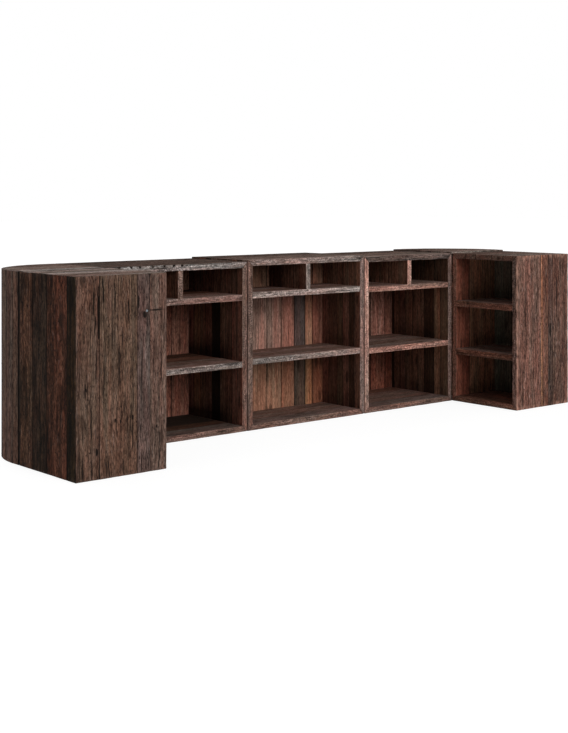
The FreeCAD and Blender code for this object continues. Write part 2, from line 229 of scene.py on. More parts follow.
class Tone(Enum):
    """Colours of the reclaimed planks, as sRGB from 0 to 255 and how weathered each is."""

    BROWN = (90, 68, 56, 0.7)
    UMBER = (92, 70, 57, 0.7)
    ASH = (91, 74, 68, 0.8)
    TAN = (100, 79, 69, 0.6)
    BLACK = (40, 29, 17, 0.1)
    RED = (87, 54, 41, 0.25)
    DARK = (58, 41, 31, 0.3)
    OLIVE = (82, 59, 45, 0.35)
    STAVE = (103, 79, 66, 0.7)
    # The tops' colours are set lighter to stand in for the glancing sheen that their finish leaves out,
    # TOP_PALE most: partly painted sheen
    TOP = (134, 117, 108, 0.8)
    TOP_MID = (114, 97, 89, 0.6)
    TOP_DARK = (92, 78, 71, 0.3)
    TOP_PALE = (161, 148, 141, 0.9)
    RUST = (120, 79, 65, 0.2)
    PINK = (143, 101, 87, 0.2)
    ROSE = (143, 109, 96, 0.3)
    ORANGE = (148, 106, 84, 0.2)
    SLATE = (82, 68, 64, 0.4)
    SOOT = (40, 29, 23, 0.2)
    SHADE = (104, 71, 57, 0.2)
    MOSS = (100, 73, 56, 0.3)
    FERN = (110, 101, 87, 0.3)
    CLAY = (138, 82, 65, 0.3)
    SAND = (172, 124, 97, 0.3)
    LOAM = (148, 106, 82, 0.3)
    LOFT = (124, 89, 71, 0.3)
    PEAT = (70, 47, 35, 0.3)
    BOARD = (128, 104, 94, 0.5)
    PLANKED = (116, 90, 79, 0.5)
    FLOOR = (114, 94, 86, 0.5)
    SPECKLED = (112, 82, 71, 0.5)
    MOTTLED = (94, 68, 58, 0.5)
    RUSSET = (108, 72, 59, 0.5)
    RAW = (164, 116, 88, 0.2)
    LEAD = (80, 61, 54, 0.5)
    EDGE_GREY = (158, 136, 127, 0.5)
    EDGE_SILVER = (148, 134, 128, 0.8)
    EDGE_DUST = (94, 77, 70, 0.7)
    EDGE_LIGHT = (142, 121, 112, 0.7)
    EDGE_PINK = (126, 100, 91, 0.4)
    EDGE_BRIGHT = (180, 141, 126, 0.15)
    EDGE_ROSE = (156, 119, 105, 0.15)
    EDGE_BROWN = (118, 89, 77, 0.3)
    EDGE_RUST = (122, 84, 68, 0.1)
    EDGE_WARM = (138, 95, 78, 0.1)

    def paint(self) -> tuple[float, float, float, float]:
        """Gives the colour in linear light, with its weathering."""
        return (*linear(self.value), self.value[3])


class Pattern(Enum):
    """Noises in the finishes: cells per metre along and across the grain, finer layers, their strength.

    Those that make patches go on with the range over which these set in, and the values if not 0 and 1.
    """

    WANDER = (1.7, 7.0, 3.0, 0.5)
    STREAK = (1.8, 110.0, 5.0, 0.66)
    FIBRE = (34.0, 170.0, 4.0, 0.65)
    MOTTLE = (4.0, 13.0, 6.0, 0.68)
    DASH = (5.0, 115.0, 3.0, 0.55, 0.33, 0.365, FALLING)
    PIT = (60.0, 175.0, 2.0, 0.5, 0.335, 0.375, FALLING)
    HUE = (1.4, 15.0, 5.0, 0.62, 0.36, 0.64)
    FLECK = (14.0, 165.0, 3.0, 0.5, 0.60, 0.70)
    BLOTCH = (2.4, 22.0, 5.0, 0.62, 0.50, 0.60)
    CHECK_LINE = (2.4, 48.0, 2.0, 0.5)
    CHECK_PATCH = (3.3, 15.0, 2.0, 0.55, 0.52, 0.60)
    KNOT_EDGE = (30.0, 90.0, 3.0, 0.55)
    SAW_SHAKE = (14.0, 40.0, 3.0, 0.55)
    SAW_PATCH = (5.0, 30.0, 4.0, 0.65, 0.36, 0.62)
    SAW_SPOT = (55.0, 130.0, 3.0, 0.6, 0.34, 0.66, (0.52, 1.45))
    RUB = (16.0, 60.0, 4.0, 0.65, 0.40, 0.62)
    CRUST = (420.0, 420.0, 4.0, 0.65)


def linear(colour: Sequence[float]) -> tuple[float, float, float]:
    """Turns an sRGB colour from 0 to 255 into linear light.

    Args:
        colour: Red, green and blue, from 0 to 255.

    Returns:
        The same colour in linear light, from 0 to 1.
    """
    parts = []
    for part in colour[:3]:
        share = part / 255.0
        parts.append(share / 12.92 if share <= 0.04045 else ((share + 0.055) / 1.055) ** 2.4)
    return parts[0], parts[1], parts[2]


def ripple(seed: int, a: np.ndarray, b: np.ndarray) -> np.ndarray:
    """Gives smooth value noise over two coordinates.

    Args:
        seed: Which of the many patterns.
        a: First coordinate, in cells.
        b: Second coordinate, in cells.

    Returns:
        The noise, from -1 to 1.
    """
    first, second = np.floor(a).astype(np.int64), np.floor(b).astype(np.int64)
    along, across = a - first, b - second
    along = along * along * (3 - 2 * along)
    across = across * across * (3 - 2 * across)

    def corner(i: int, j: int) -> np.ndarray:
        """Gives the value of one corner of each point's cell.

        Args:
            i: 0 for the near corner on the first coordinate, 1 for the far one.
            j: The same on the second coordinate.

        Returns:
            The values, from -1 to 1.
        """
        by_first, by_second, by_seed = HASH_STEPS
        mixed = ((first + i) * by_first + (second + j) * by_second + seed * by_seed) & HASH_MASK
        mixed = ((mixed ^ (mixed >> 13)) * HASH_MIX) & HASH_MASK
        return ((mixed ^ (mixed >> 16)) & 0xFFFF) / 32767.5 - 1

    low = corner(0, 0) * (1 - along) + corner(1, 0) * along
    high = corner(0, 1) * (1 - along) + corner(1, 1) * along
    return low * (1 - across) + high * across


def stations(size: float, step: float) -> np.ndarray:
    """Places mesh lines along one edge of a plank, closer together near its ends.

    Args:
        size: Length of the edge.
        step: Usual distance between lines.

    Returns:
        The places of the lines, from 0 to the size.
    """
    ends = [0.0, ARRIS * (1 - ARRIS_SHARE), ARRIS]
    ends += [place for place in EDGE_STATIONS if place < min(size * STATION_SHARE, step * STATION_STEPS)]
    count = max(1, round((size - 2 * ends[-1]) / step))
    core = np.linspace(ends[-1], size - ends[-1], count + 1)
    return np.concatenate((ends[:-1], core, [size - place for place in reversed(ends[:-1])]))


@dataclass(frozen=True)
class Mark:
    """A crack, dent or iron-stained hollow in a plank's outer face.

    Attributes:
        along: Where its middle is along the grain, in metres from the plank's start.
        across: Where its middle is across the width, in metres from the plank's edge.
        length: Half its length along the grain.
        width: Half its width.
        depth: How deep it goes.
        wander: How far it drifts across the width.
        reach: Share of the plank's thickness that it reaches down its edge.
        start: Share of the thickness where it starts.
    """

    along: float
    across: float
    length: float
    width: float
    depth: float
    wander: float = 0.004
    reach: float = 0.3
    start: float = 0.0

    def bite(self, along: np.ndarray, across: np.ndarray, seed: int) -> np.ndarray:
        """Tells how much of the mark each point has.

        Args:
            along: Places along the grain.
            across: Places across the width.
            seed: Pattern of its wandering.

        Returns:
            Shares from 0 outside the mark to 1 in its middle.
        """
        coarse, fine, rows = DRIFT_CELLS
        row = along * 0.0 + self.across * rows
        drift = self.wander * ripple(seed, along * coarse, row)
        drift += self.wander * DRIFT_FINE * ripple(seed + 1, along * fine, row)
        ends = 1 - np.clip(np.abs(along - self.along) / self.length, 0, 1) ** 3
        half = self.width * (MARK_TIP + (1 - MARK_TIP) * ends)
        sides = 1 - np.abs(across - self.across - drift) / half
        return np.clip(sides, 0, 1) * (ends > 0) * np.clip(ends * MARK_FADE, 0, 1)


@dataclass(frozen=True)
class PaintedShade:
    """Painted shade: colour darkened towards the low back corners of open compartments.

    Attributes:
        axis: Axis of the compartments' depth.
        front: Where their open front is on that axis.
        floors: Heights of the boards that it lies on.
        strength: How dark it is.
    """

    axis: int
    front: float
    floors: tuple[float, ...]
    strength: float

    def share(self, points: np.ndarray) -> np.ndarray:
        """Tells how much painted shade each point gets.

        Args:
            points: Points in the row's frame.

        Returns:
            Shares from 0 where it is unshaded to 1 where it is black.
        """
        over = points[:, Z, None] - np.array(self.floors)
        rise = np.where(over > -FLAT, over, np.inf).min(axis=1)
        inwards = np.clip((np.abs(points[:, self.axis] - self.front) - CORNER_SHADE_START) / CORNER_SHADE_REACH, 0, 1)
        return self.strength * inwards * np.minimum(CORNER_SHADE_MOST, CORNER_SHADE_FULL * np.exp(-rise / CORNER_SHADE_HEIGHT))


@dataclass(frozen=True)
class Layout:
    """How one board is made up of planks.

    Attributes:
        shares: Widths of its planks, in any unit, from low to high coordinates.
        tones: Colours of the outer faces and edges.
        linings: Colours of the inner faces; the outer ones if there are none.
        marks: Cracks and dents by the plank's number.
        edge: Colour of the sawn edges; the outer faces' if there is none.
        joint: Half the width of the joints between its planks, which tongues close.
        ends: Colour of the sawn ends; the outer faces' if there is none.
        upper: Height over which the inner faces have another colour, and that colour, which stands in for the
            shade in the compartments up there: painted shade.
        lower: Height under which the inner faces are darker, as painted shade, and the shares of their colour
            left.
        detail: How close the first plank's mesh lines are.
        rest: The same for the other planks.
        soot: Painted shade on the inner faces, if there is any.
    """

    shares: tuple[float, ...]
    tones: tuple[Tone, ...]
    linings: tuple[Tone, ...] = ()
    marks: dict[int, tuple[Mark, ...]] = field(default_factory=dict)
    edge: Optional[Tone] = None
    joint: float = GLUE_LINE
    ends: Optional[Tone] = None
    upper: Optional[tuple[float, Tone]] = None
    lower: Optional[tuple[float, tuple[float, float, float]]] = None
    detail: Detail = Detail.FRONT
    rest: Detail = Detail.COARSE
    soot: Optional[PaintedShade] = None

    def tone(self, number: int) -> Tone:
        """Gives a plank's outer colour."""
        return self.tones[number % len(self.tones)]

    def lining(self, number: int) -> Tone:
        """Gives a plank's inner colour."""
        return self.linings[number % len(self.linings)] if self.linings else self.tone(number)

    def lines(self, number: int) -> Detail:
        """Tells how close a plank's mesh lines are."""
        return self.detail if number == 0 else self.rest

    def ranges(self, low: float, high: float) -> list[tuple[float, float]]:
        """Shares a range among the planks.

        Args:
            low: Where the range starts.
            high: Where it ends.

        Returns:
            Range of each plank.
        """
        places = low + (high - low) * np.cumsum((0.0, *self.shares)) / sum(self.shares)
        return list(zip(places[:-1], places[1:]))


@dataclass
class Plank:
    """One plank between its outer face and its inner face.

    Attributes:
        layout: The board that it is part of.
        number: Its number in that board, from low to high coordinates.
        normal: Axis that the broad faces look along.
        grain: Axis that the grain runs along.
        depth: Places of the outer and the inner face on the normal's axis.
        outer: Range along the grain, then across it, on the outer face.
        inner: The same on the inner face.
        seed: Pattern of its own shapes.
        joints: Whether its first and its last long edge meet another plank.
        box: Lowest and highest corners that worn arrises follow, if any.
        seams: Sides of that box which stand against another unit, as axis and side.
        grime: How dark those seams are.
    """

    layout: Layout
    number: int
    normal: int
    grain: int
    depth: tuple[float, float]
    outer: tuple[float, float, float, float]
    inner: tuple[float, float, float, float]
    seed: int
    joints: tuple[bool, bool] = (False, False)
    box: Optional[np.ndarray] = None
    seams: Sequence[tuple[int, int]] = ()
    grime: float = 0.0

    def size(self) -> tuple[float, float, float]:
        """Gives the plank's length, width and thickness on its outer face."""
        g0, g1, w0, w1 = self.outer
        return g1 - g0, w1 - w0, abs(self.depth[1] - self.depth[0])

    def place(self, g: np.ndarray, w: np.ndarray, t: np.ndarray) -> np.ndarray:
        """Puts points of the plank's own box into the row's frame.

        Args:
            g: Places along the grain.
            w: Places across the width.
            t: Places from the outer face inwards.

        Returns:
            The points, one row each.
        """
        length, width, thick = self.size()
        share = t / thick
        along = [self.outer[i] * (1 - share) + self.inner[i] * share for i in range(4)]
        points = np.zeros((len(g), 3))
        points[:, self.grain] = along[0] + (along[1] - along[0]) * g / length
        points[:, 3 - self.normal - self.grain] = along[2] + (along[3] - along[2]) * w / width
        points[:, self.normal] = self.depth[0] + (self.depth[1] - self.depth[0]) * share
        return points

    def relief(self, p: np.ndarray, arris: np.ndarray) -> tuple[np.ndarray, np.ndarray]:
        """Works out how far the worn surface lies under the sawn one.

        Args:
            p: Points of the plank's box, as places along, across and inwards.
            arris: 1 on points of the plank's arrises, 0 elsewhere.

        Returns:
            How far each point goes in, and how dark a crack it lies in.
        """
        along, across, inwards = p[:, 0], p[:, 1], p[:, 2]
        thick = self.size()[2]
        long, wide = WARP_CELLS
        depth = WARP_DEPTH * (1 + ripple(self.seed, along * long, across * wide + inwards * wide))
        if self.layout.lines(self.number) is not Detail.COARSE:
            long, wide = FIBRE_CELLS
            depth += FIBRE_DEPTH * (1 + ripple(self.seed + 1, along * long, (across + inwards) * wide))
        long, wide, deep = CHIP_CELLS
        chip = ripple(self.seed + 2, along * long + across * wide, inwards * deep)
        depth += arris * np.clip(chip - CHIP_START, 0, 1) * CHIP_DEPTH
        crack = np.zeros(len(p))
        for count, mark in enumerate(self.layout.marks.get(self.number, ())):
            bite = mark.bite(along, across, self.seed + MARK_SEEDS * count)
            bite = bite * (inwards < thick * mark.reach) * (inwards >= thick * mark.start - FLAT)
            depth += bite * mark.depth
            crack = np.maximum(crack, bite)
        return depth, crack

    def joint(self, p: np.ndarray) -> np.ndarray:
        """Tells how dark the joints with other planks and the mitres are.

        Args:
            p: Points of the plank's box, as places along, across and inwards.

        Returns:
            Shares from 0 away from joints to 1 in them.
        """
        length, width, _ = self.size()
        along, across = p[:, 0], p[:, 1]
        dark = np.zeros(len(p))
        wide = JOINT_EVEN + (1 - JOINT_EVEN) * ripple(self.seed + 3, along * JOINT_CELLS, along * 0.0)
        reach = JOINT_REACH + JOINT_GAPS * self.layout.joint
        for meets, distance in zip(self.joints, (across, width - across)):
            if meets:
                dark = np.maximum(dark, np.exp(-distance / reach) * wide)
        dark = dark * (np.minimum(along, length - along) > ARRIS)
        on_edge = np.minimum(across, width - across) < ON_EDGE
        mitre = np.exp(-np.minimum(along, length - along) / JOINT_REACH) * on_edge
        return np.maximum(dark, mitre * MITRE_DARK)


@dataclass
class Stave(Plank):
    """A plank bent into part of a rounded corner; its width runs round the arc.

    Attributes:
        centre: Middle of the arc, in plan.
        start: Direction of the plank's first edge, in radians.
        turn: 1 if the width runs anticlockwise, -1 if clockwise.
        radius: The outer face's radius.
    """

    centre: tuple[float, float] = (0.0, 0.0)
    start: float = 0.0
    turn: float = 1.0
    radius: float = 0.5

    def place(self, g: np.ndarray, w: np.ndarray, t: np.ndarray) -> np.ndarray:
        """Bends the plank's box round the corner.

        Args:
            g: Places along the grain, which is upright.
            w: Places round the arc.
            t: Places from the outer face inwards.

        Returns:
            The points, one row each.
        """
        angle = self.start + self.turn * w / self.radius
        reach = self.radius - t
        along = self.centre[0] + reach * np.cos(angle)
        back = self.centre[1] + reach * np.sin(angle)
        return np.stack((along, back, self.outer[0] + g), axis=1)


@dataclass
class ArcPlank(Plank):
    """A board of a corner unit's plate, whose far end follows the rounded corner.

    Attributes:
        centre: Middle of the arc, in plan.
        radius: The plate's own radius.
        hand: -1 if the rounded end points to -X, 1 if to +X.
    """

    centre: tuple[float, float] = (0.0, 0.0)
    radius: float = 0.5
    hand: float = -1.0

    def place(self, g: np.ndarray, w: np.ndarray, t: np.ndarray) -> np.ndarray:
        """Stretches the board's box between the straight end and the arc.

        Args:
            g: Places along the grain, from the straight end.
            w: Places across the width.
            t: Places from the outer face inwards.

        Returns:
            The points, one row each.
        """
        length, _, thick = self.size()
        back = self.outer[2] + w
        over = np.clip(back - self.centre[1], 0, self.radius * ARC_END)
        reach = np.sqrt(self.radius**2 - over**2)
        straight = self.outer[1] if self.hand < 0 else self.outer[0]
        far = self.centre[0] + self.hand * reach
        share = g / length if self.hand > 0 else 1 - g / length
        along = straight + (far - straight) * share
        high = self.depth[0] + (self.depth[1] - self.depth[0]) * t / thick
        return np.stack((along, back, high), axis=1)


class PlankMesh:
    """Gathers planks into one mesh, with the attributes that the finishes read."""

    FORMS = {
        "grain": ("FLOAT_VECTOR", "POINT", "vector"),
        "wear": ("FLOAT", "POINT", "value"),
        "crack": ("FLOAT", "POINT", "value"),
        "soot": ("FLOAT", "POINT", "value"),
        "tone": ("FLOAT_COLOR", "FACE", "color"),
        "kind": ("FLOAT", "FACE", "value"),
    }

    def __init__(self, name: str) -> None:
        """Starts an empty mesh.

        Args:
            name: Name of the object it becomes.
        """
        self.name = name
        self.count = 0
        self.points: list[np.ndarray] = []
        self.quads: list[np.ndarray] = []
        self.values: dict[str, list[np.ndarray]] = {form: [] for form in self.FORMS}

    def add(self, plank: Plank) -> None:
        """Adds one plank as a closed mesh with rounded arrises.

        Args:
            plank: The plank to add.
        """
        p, number = self.lattice(plank)
        quads, kinds, inside = self.sides(number)
        points, wear, crack = self.surface(plank, p)
        corners = points[quads]
        spread = np.cross(corners[:, 2] - corners[:, 0], corners[:, 3] - corners[:, 1])
        if (spread * (corners.mean(axis=1) - points.mean(axis=0))).sum() < 0:
            quads = quads[:, ::-1]
        heights = points[quads].mean(axis=1)[:, Z]
        kinds[inside] = Side.LINING.value

        _, width, thick = plank.size()
        chance = random.Random(plank.seed)
        heart = [chance.uniform(*span) for span in PITH]
        pith = np.array([heart[0], -heart[1] * width, heart[2]])
        inner_half = (p[:, 2] > thick / 2).astype(float)
        soot = plank.layout.soot
        made = {
            "grain": p * (1, 1, -1) + pith,
            "wear": wear,
            "crack": crack,
            # Painted shade towards the low back corners, on the inner half of the plank
            "soot": soot.share(points) * inner_half if soot else inner_half * 0.0,
            "tone": self.colours(plank, kinds, inside, heights),
            "kind": kinds,
        }
        for name, data in made.items():
            self.values[name].append(data)
        self.points.append(points)
        self.quads.append(quads + self.count)
        self.count += len(points)

    @staticmethod
    def lattice(plank: Plank) -> tuple[np.ndarray, np.ndarray]:
        """Lays mesh lines round a plank's box.

        Args:
            plank: The plank.

        Returns:
            Points of its box, as places along, across and inwards, and the number of each lattice point.
        """
        length, width, thick = plank.size()
        fine_along, fine_across = plank.layout.lines(plank.number).value
        lines = [
            stations(length, fine_along),
            stations(width, fine_across),
            stations(thick, max(fine_across, THICKNESS_STEP)),
        ]
        shape = tuple(len(line) for line in lines)
        skin = np.zeros(shape, bool)
        for axis in range(3):
            skin[(slice(None),) * axis + (0,)] = True
            skin[(slice(None),) * axis + (-1,)] = True
        number = np.full(shape, -1)
        number[skin] = np.arange(skin.sum())
        return np.stack([grid[skin] for grid in np.meshgrid(*lines, indexing="ij")], axis=1), number

    @staticmethod
    def sides(number: np.ndarray) -> tuple[np.ndarray, np.ndarray, np.ndarray]:
        """Lists the faces of a plank's box from its numbered points.

        Args:
            number: Number of each point of the box's lattice.

        Returns:
            The faces, the kind of each, and which lie on the inner face.
        """
        quads, kinds, inside = [], [], []
        for axis, kind in ((0, Side.END), (1, Side.EDGE), (2, Side.FACE)):
            for end in (0, -1):
                grid = number[(slice(None),) * axis + (end,)]
                ring = [grid[:-1, :-1], grid[1:, :-1], grid[1:, 1:], grid[:-1, 1:]]
                if (end == 0) == (axis != 1):
                    ring = ring[::-1]
                quads.append(np.stack([part.ravel() for part in ring], axis=1))
                kinds.append(np.full(len(quads[-1]), kind.value))
                inside.append(np.full(len(quads[-1]), axis == 2 and end == -1))
        return np.concatenate(quads), np.concatenate(kinds), np.concatenate(inside)

    def surface(self, plank: Plank, p: np.ndarray) -> tuple[np.ndarray, np.ndarray, np.ndarray]:
        """Wears a plank's box down to its old surface.

        Args:
            plank: The plank.
            p: Points of its box, as places along, across and inwards.

        Returns:
            The points in the row's frame, how rubbed each is, and how dark a crack it lies in.
        """
        size = np.array(plank.size())
        core = np.clip(p, ARRIS, size - ARRIS)
        off = p - core
        out = off / np.maximum(np.linalg.norm(off, axis=1, keepdims=True), TINY)
        arris = ((np.abs(off) > OFF_FACE).sum(axis=1) > 1).astype(float)
        depth, crack = plank.relief(p, arris)
        worn = core + out * (ARRIS - depth)[:, None]
        between = np.minimum(p[:, 2], size[2] - p[:, 2]) > TONGUE_DEPTH
        tongue = plank.layout.joint * TONGUE_SHARE
        for meets, end, way in zip(plank.joints, (0.0, size[1]), (-1, 1)):
            if meets:
                worn[between & (np.abs(p[:, 1] - end) < FLAT), 1] = end + way * tongue
        points = plank.place(worn[:, 0], worn[:, 1], worn[:, 2])
        gaps = np.sort(np.minimum(p, size - p), axis=1)
        wear = np.exp(-gaps[:, 1] / ARRIS_WEAR)
        if plank.box is not None:
            points, rubbed = self.rub(points, plank.box, plank.seed)
            wear = np.maximum(wear * PLANK_WEAR, rubbed)
            reach = SEAM_REACH * (SEAM_LEAST + plank.grime) * (TOP_SEAM if plank.normal == Z else 1.0)
            for axis, side in plank.seams:
                grime = plank.grime * np.exp(-np.abs(points[:, axis] - plank.box[side, axis]) / reach)
                crack = np.maximum(crack, grime)
                wear = wear * (1 - grime)
        for meets, distance in zip(plank.joints, (p[:, 1], size[1] - p[:, 1])):
            if meets:
                wear = wear * (1 - np.exp(-distance / WEAR_REACH))
        return points, wear, np.maximum(crack, plank.joint(p))

    @staticmethod
    def rub(points: np.ndarray, box: np.ndarray, seed: int) -> tuple[np.ndarray, np.ndarray]:
        """Rounds the unit's outer arrises, as years of use do.

        Args:
            points: Points of a plank, in the row's frame.
            box: Lowest and highest corners of the unit.
            seed: Pattern of the wear.

        Returns:
            The worn points, and how rubbed each is.
        """
        total = points.sum(axis=1)
        spread = RUB_SHARES[0] * ripple(seed, total * RUB_CELLS[0], total * 0)
        spread = spread + RUB_SHARES[1] * ripple(seed + 5, total * RUB_CELLS[1], total * 0)
        radius = (UNIT_ROUND + UNIT_ROUND_SPREAD * spread)[:, None]
        core = np.clip(points, box[LOW] + radius, box[HIGH] - radius)
        off = points - core
        reach = np.linalg.norm(off, axis=1, keepdims=True)
        worn = np.where(reach > radius, core + off * radius / np.maximum(reach, TINY), points)
        gaps = np.sort(np.minimum(np.abs(points - box[LOW]), np.abs(points - box[HIGH])), axis=1)
        return worn, np.exp(-gaps[:, 1] / WEAR_REACH)

    @staticmethod
    def colours(plank: Plank, kinds: np.ndarray, inside: np.ndarray, heights: np.ndarray) -> np.ndarray:
        """Gives each face of a plank its tone.

        Args:
            plank: The plank.
            kinds: Kind of each face.
            inside: Which faces lie on the inner face.
            heights: Height of each face's middle.

        Returns:
            Linear colour and weathering of each face.
        """
        layout = plank.layout
        faces = np.array([layout.tone(plank.number).paint()] * len(kinds))
        faces[inside] = layout.lining(plank.number).paint()
        # Painted shade: inner faces over the upper height take one plainer colour for the shade up there
        if layout.upper is not None:
            height, tone = layout.upper
            faces[inside & (heights > height)] = tone.paint()
        # Painted shade: inner faces under the lower height are darkened
        if layout.lower is not None:
            height, shares = layout.lower
            faces[inside & (heights < height), :3] *= shares
        for side, tone in ((Side.EDGE, layout.edge), (Side.END, layout.ends)):
            if tone is not None:
                faces[kinds == side.value] = tone.paint()
        return faces

    def build(self, finish: "Finish", *nodes: str) -> None:
        """Makes the piece that stands for some CAD nodes.

        Args:
            finish: The finish that it takes.
            nodes: The CAD nodes it replaces.
        """
        points, quads = np.concatenate(self.points), np.concatenate(self.quads)
        piece = make_piece(self.name, points.tolist(), quads.tolist(), finish)
        for name, (form, domain, part) in self.FORMS.items():
            attribute = piece.data.attributes.new(name, form, domain)
            data = np.concatenate(self.values[name])
            attribute.data.foreach_set(part, np.ascontiguousarray(data, np.float32).ravel())
        piece.data.update()
        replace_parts(piece, *nodes)


class Bench:
    """Lays out shader nodes in one tree and joins them."""

    def __init__(self, tree: bpy.types.NodeTree) -> None:
        """Keeps the tree that nodes go into."""
        self.tree = tree

    def node(self, kind: str, inputs: Optional[dict] = None, **settings: object) -> bpy.types.Node:
        """Adds a node.

        Args:
            kind: Blender's name for the type of node.
            inputs: What its inputs get, by name or number.
            settings: Values of the node's own properties.

        Returns:
            The new node.
        """
        made = self.tree.nodes.new(kind)
        for name, value in settings.items():
            setattr(made, name, value)
        for key, value in (inputs or {}).items():
            self.feed(made.inputs[key], value)
        return made

    def feed(self, socket: bpy.types.NodeSocket, value: object) -> None:
        """Links a socket, or sets its value.

        Args:
            socket: The input.
            value: Another node's output, or a plain value.
        """
        if isinstance(value, bpy.types.NodeSocket):
            self.tree.links.new(value, socket)
        else:
            socket.default_value = value

    def math(self, operation: str, a: object, b: object = 0.0) -> bpy.types.NodeSocket:
        """Works out a sum of two numbers, by Blender's name for the sum."""
        return self.node("ShaderNodeMath", {0: a, 1: b}, operation=operation).outputs[0]

    def times(self, first: object, *factors: object) -> bpy.types.NodeSocket:
        """Multiplies numbers, one after the other."""
        return reduce(partial(self.math, "MULTIPLY"), factors, first)

    def near(self, kind: object, side: Side) -> bpy.types.NodeSocket:
        """Gives 1 where a face is of the kind that is asked for, and 0 elsewhere."""
        inputs = {0: kind, 1: side.value, 2: KIND_ROOM}
        return self.node("ShaderNodeMath", inputs, operation="COMPARE").outputs[0]

    def spread(
        self, value: object, low: float, high: float, to: tuple[float, float] = (0.0, 1.0)
    ) -> bpy.types.NodeSocket:
        """Maps the range from low to high smoothly onto another."""
        inputs = {"Value": value, "From Min": low, "From Max": high, "To Min": to[0], "To Max": to[1]}
        return self.node("ShaderNodeMapRange", inputs, interpolation_type="SMOOTHSTEP").outputs[0]

    def stretch(self, vector: object, scale: tuple[float, float, float]) -> bpy.types.NodeSocket:
        """Multiplies a vector or a colour by three factors."""
        return self.node("ShaderNodeVectorMath", {0: vector, 1: scale}, operation="MULTIPLY").outputs[0]

    def scale(self, colour: object, factor: object) -> bpy.types.NodeSocket:
        """Makes a colour lighter or darker."""
        inputs = {0: colour, "Scale": factor}
        return self.node("ShaderNodeVectorMath", inputs, operation="SCALE").outputs[0]

    def noise(self, vector: object, pattern: Pattern) -> bpy.types.NodeSocket:
        """Adds noise stretched along the grain.

        Args:
            vector: Coordinates.
            pattern: Its cells and layers.

        Returns:
            The noise's output, about 0.5.
        """
        along, across, layers, rough = pattern.value[:4]
        place = self.stretch(vector, (along, across, across))
        inputs = {"Vector": place, "Scale": 1.0, "Detail": layers, "Roughness": rough}
        return self.node("ShaderNodeTexNoise", inputs).outputs[0]

    def patches(self, vector: object, pattern: Pattern) -> bpy.types.NodeSocket:
        """Turns a pattern's noise into patches, over the pattern's own range."""
        return self.spread(self.noise(vector, pattern), *pattern.value[4:])

    def mix(self, factor: object, a: object, b: object) -> bpy.types.NodeSocket:
        """Mixes two colours, on the node's sockets for colours; the factor is the second one's share."""
        return self.node("ShaderNodeMix", {0: factor, 6: a, 7: b}, data_type="RGBA").outputs[2]

    def blend(self, factor: object, first: bpy.types.Node, second: bpy.types.Node) -> bpy.types.NodeSocket:
        """Mixes two shaders; the factor is the second one's share."""
        inputs = {0: factor, 1: first.outputs[0], 2: second.outputs[0]}
        return self.node("ShaderNodeMixShader", inputs).outputs[0]

    def fade(self, colour: object, saturation: float, value: float = 1.0) -> bpy.types.NodeSocket:
        """Makes a colour greyer, and lighter if asked."""
        inputs = {"Saturation": saturation, "Value": value, "Color": colour}
        return self.node("ShaderNodeHueSaturation", inputs).outputs["Color"]

    def bump(self, height: object, distance: float) -> bpy.types.NodeSocket:
        """Turns heights into relief; the distance is what a height of 1 is, in metres."""
        inputs = {"Strength": 1.0, "Distance": distance, "Height": height}
        return self.node("ShaderNodeBump", inputs).outputs["Normal"]

    def attribute(self, name: str) -> bpy.types.Node:
        """Adds a node that reads a mesh attribute."""
        return self.node("ShaderNodeAttribute", attribute_name=name, attribute_type="GEOMETRY")


class Effect(Enum):
    """Node groups that the timber finishes share: their inputs and outputs."""

    FIGURE = (
        "timber_figure",
        ("Grain",),
        ("Streak", "Fibre", "Ring", "Mottle", "Dash", "Pit", "Fleck", "Hue", "Blotch"),
    )
    CHECKS = ("drying_checks", ("Grain", "Amount"), ("Mask",))
    KNOTS = ("knots_and_nail_holes", ("Grain", "Amount"), ("Knot", "Hole", "Stain"))
    SAWN = ("saw_marks", ("Grain",), ("Mark", "Patch", "Spot"))
    WEAR = ("edge_wear", ("Grain", "Wear"), ("Mask",))


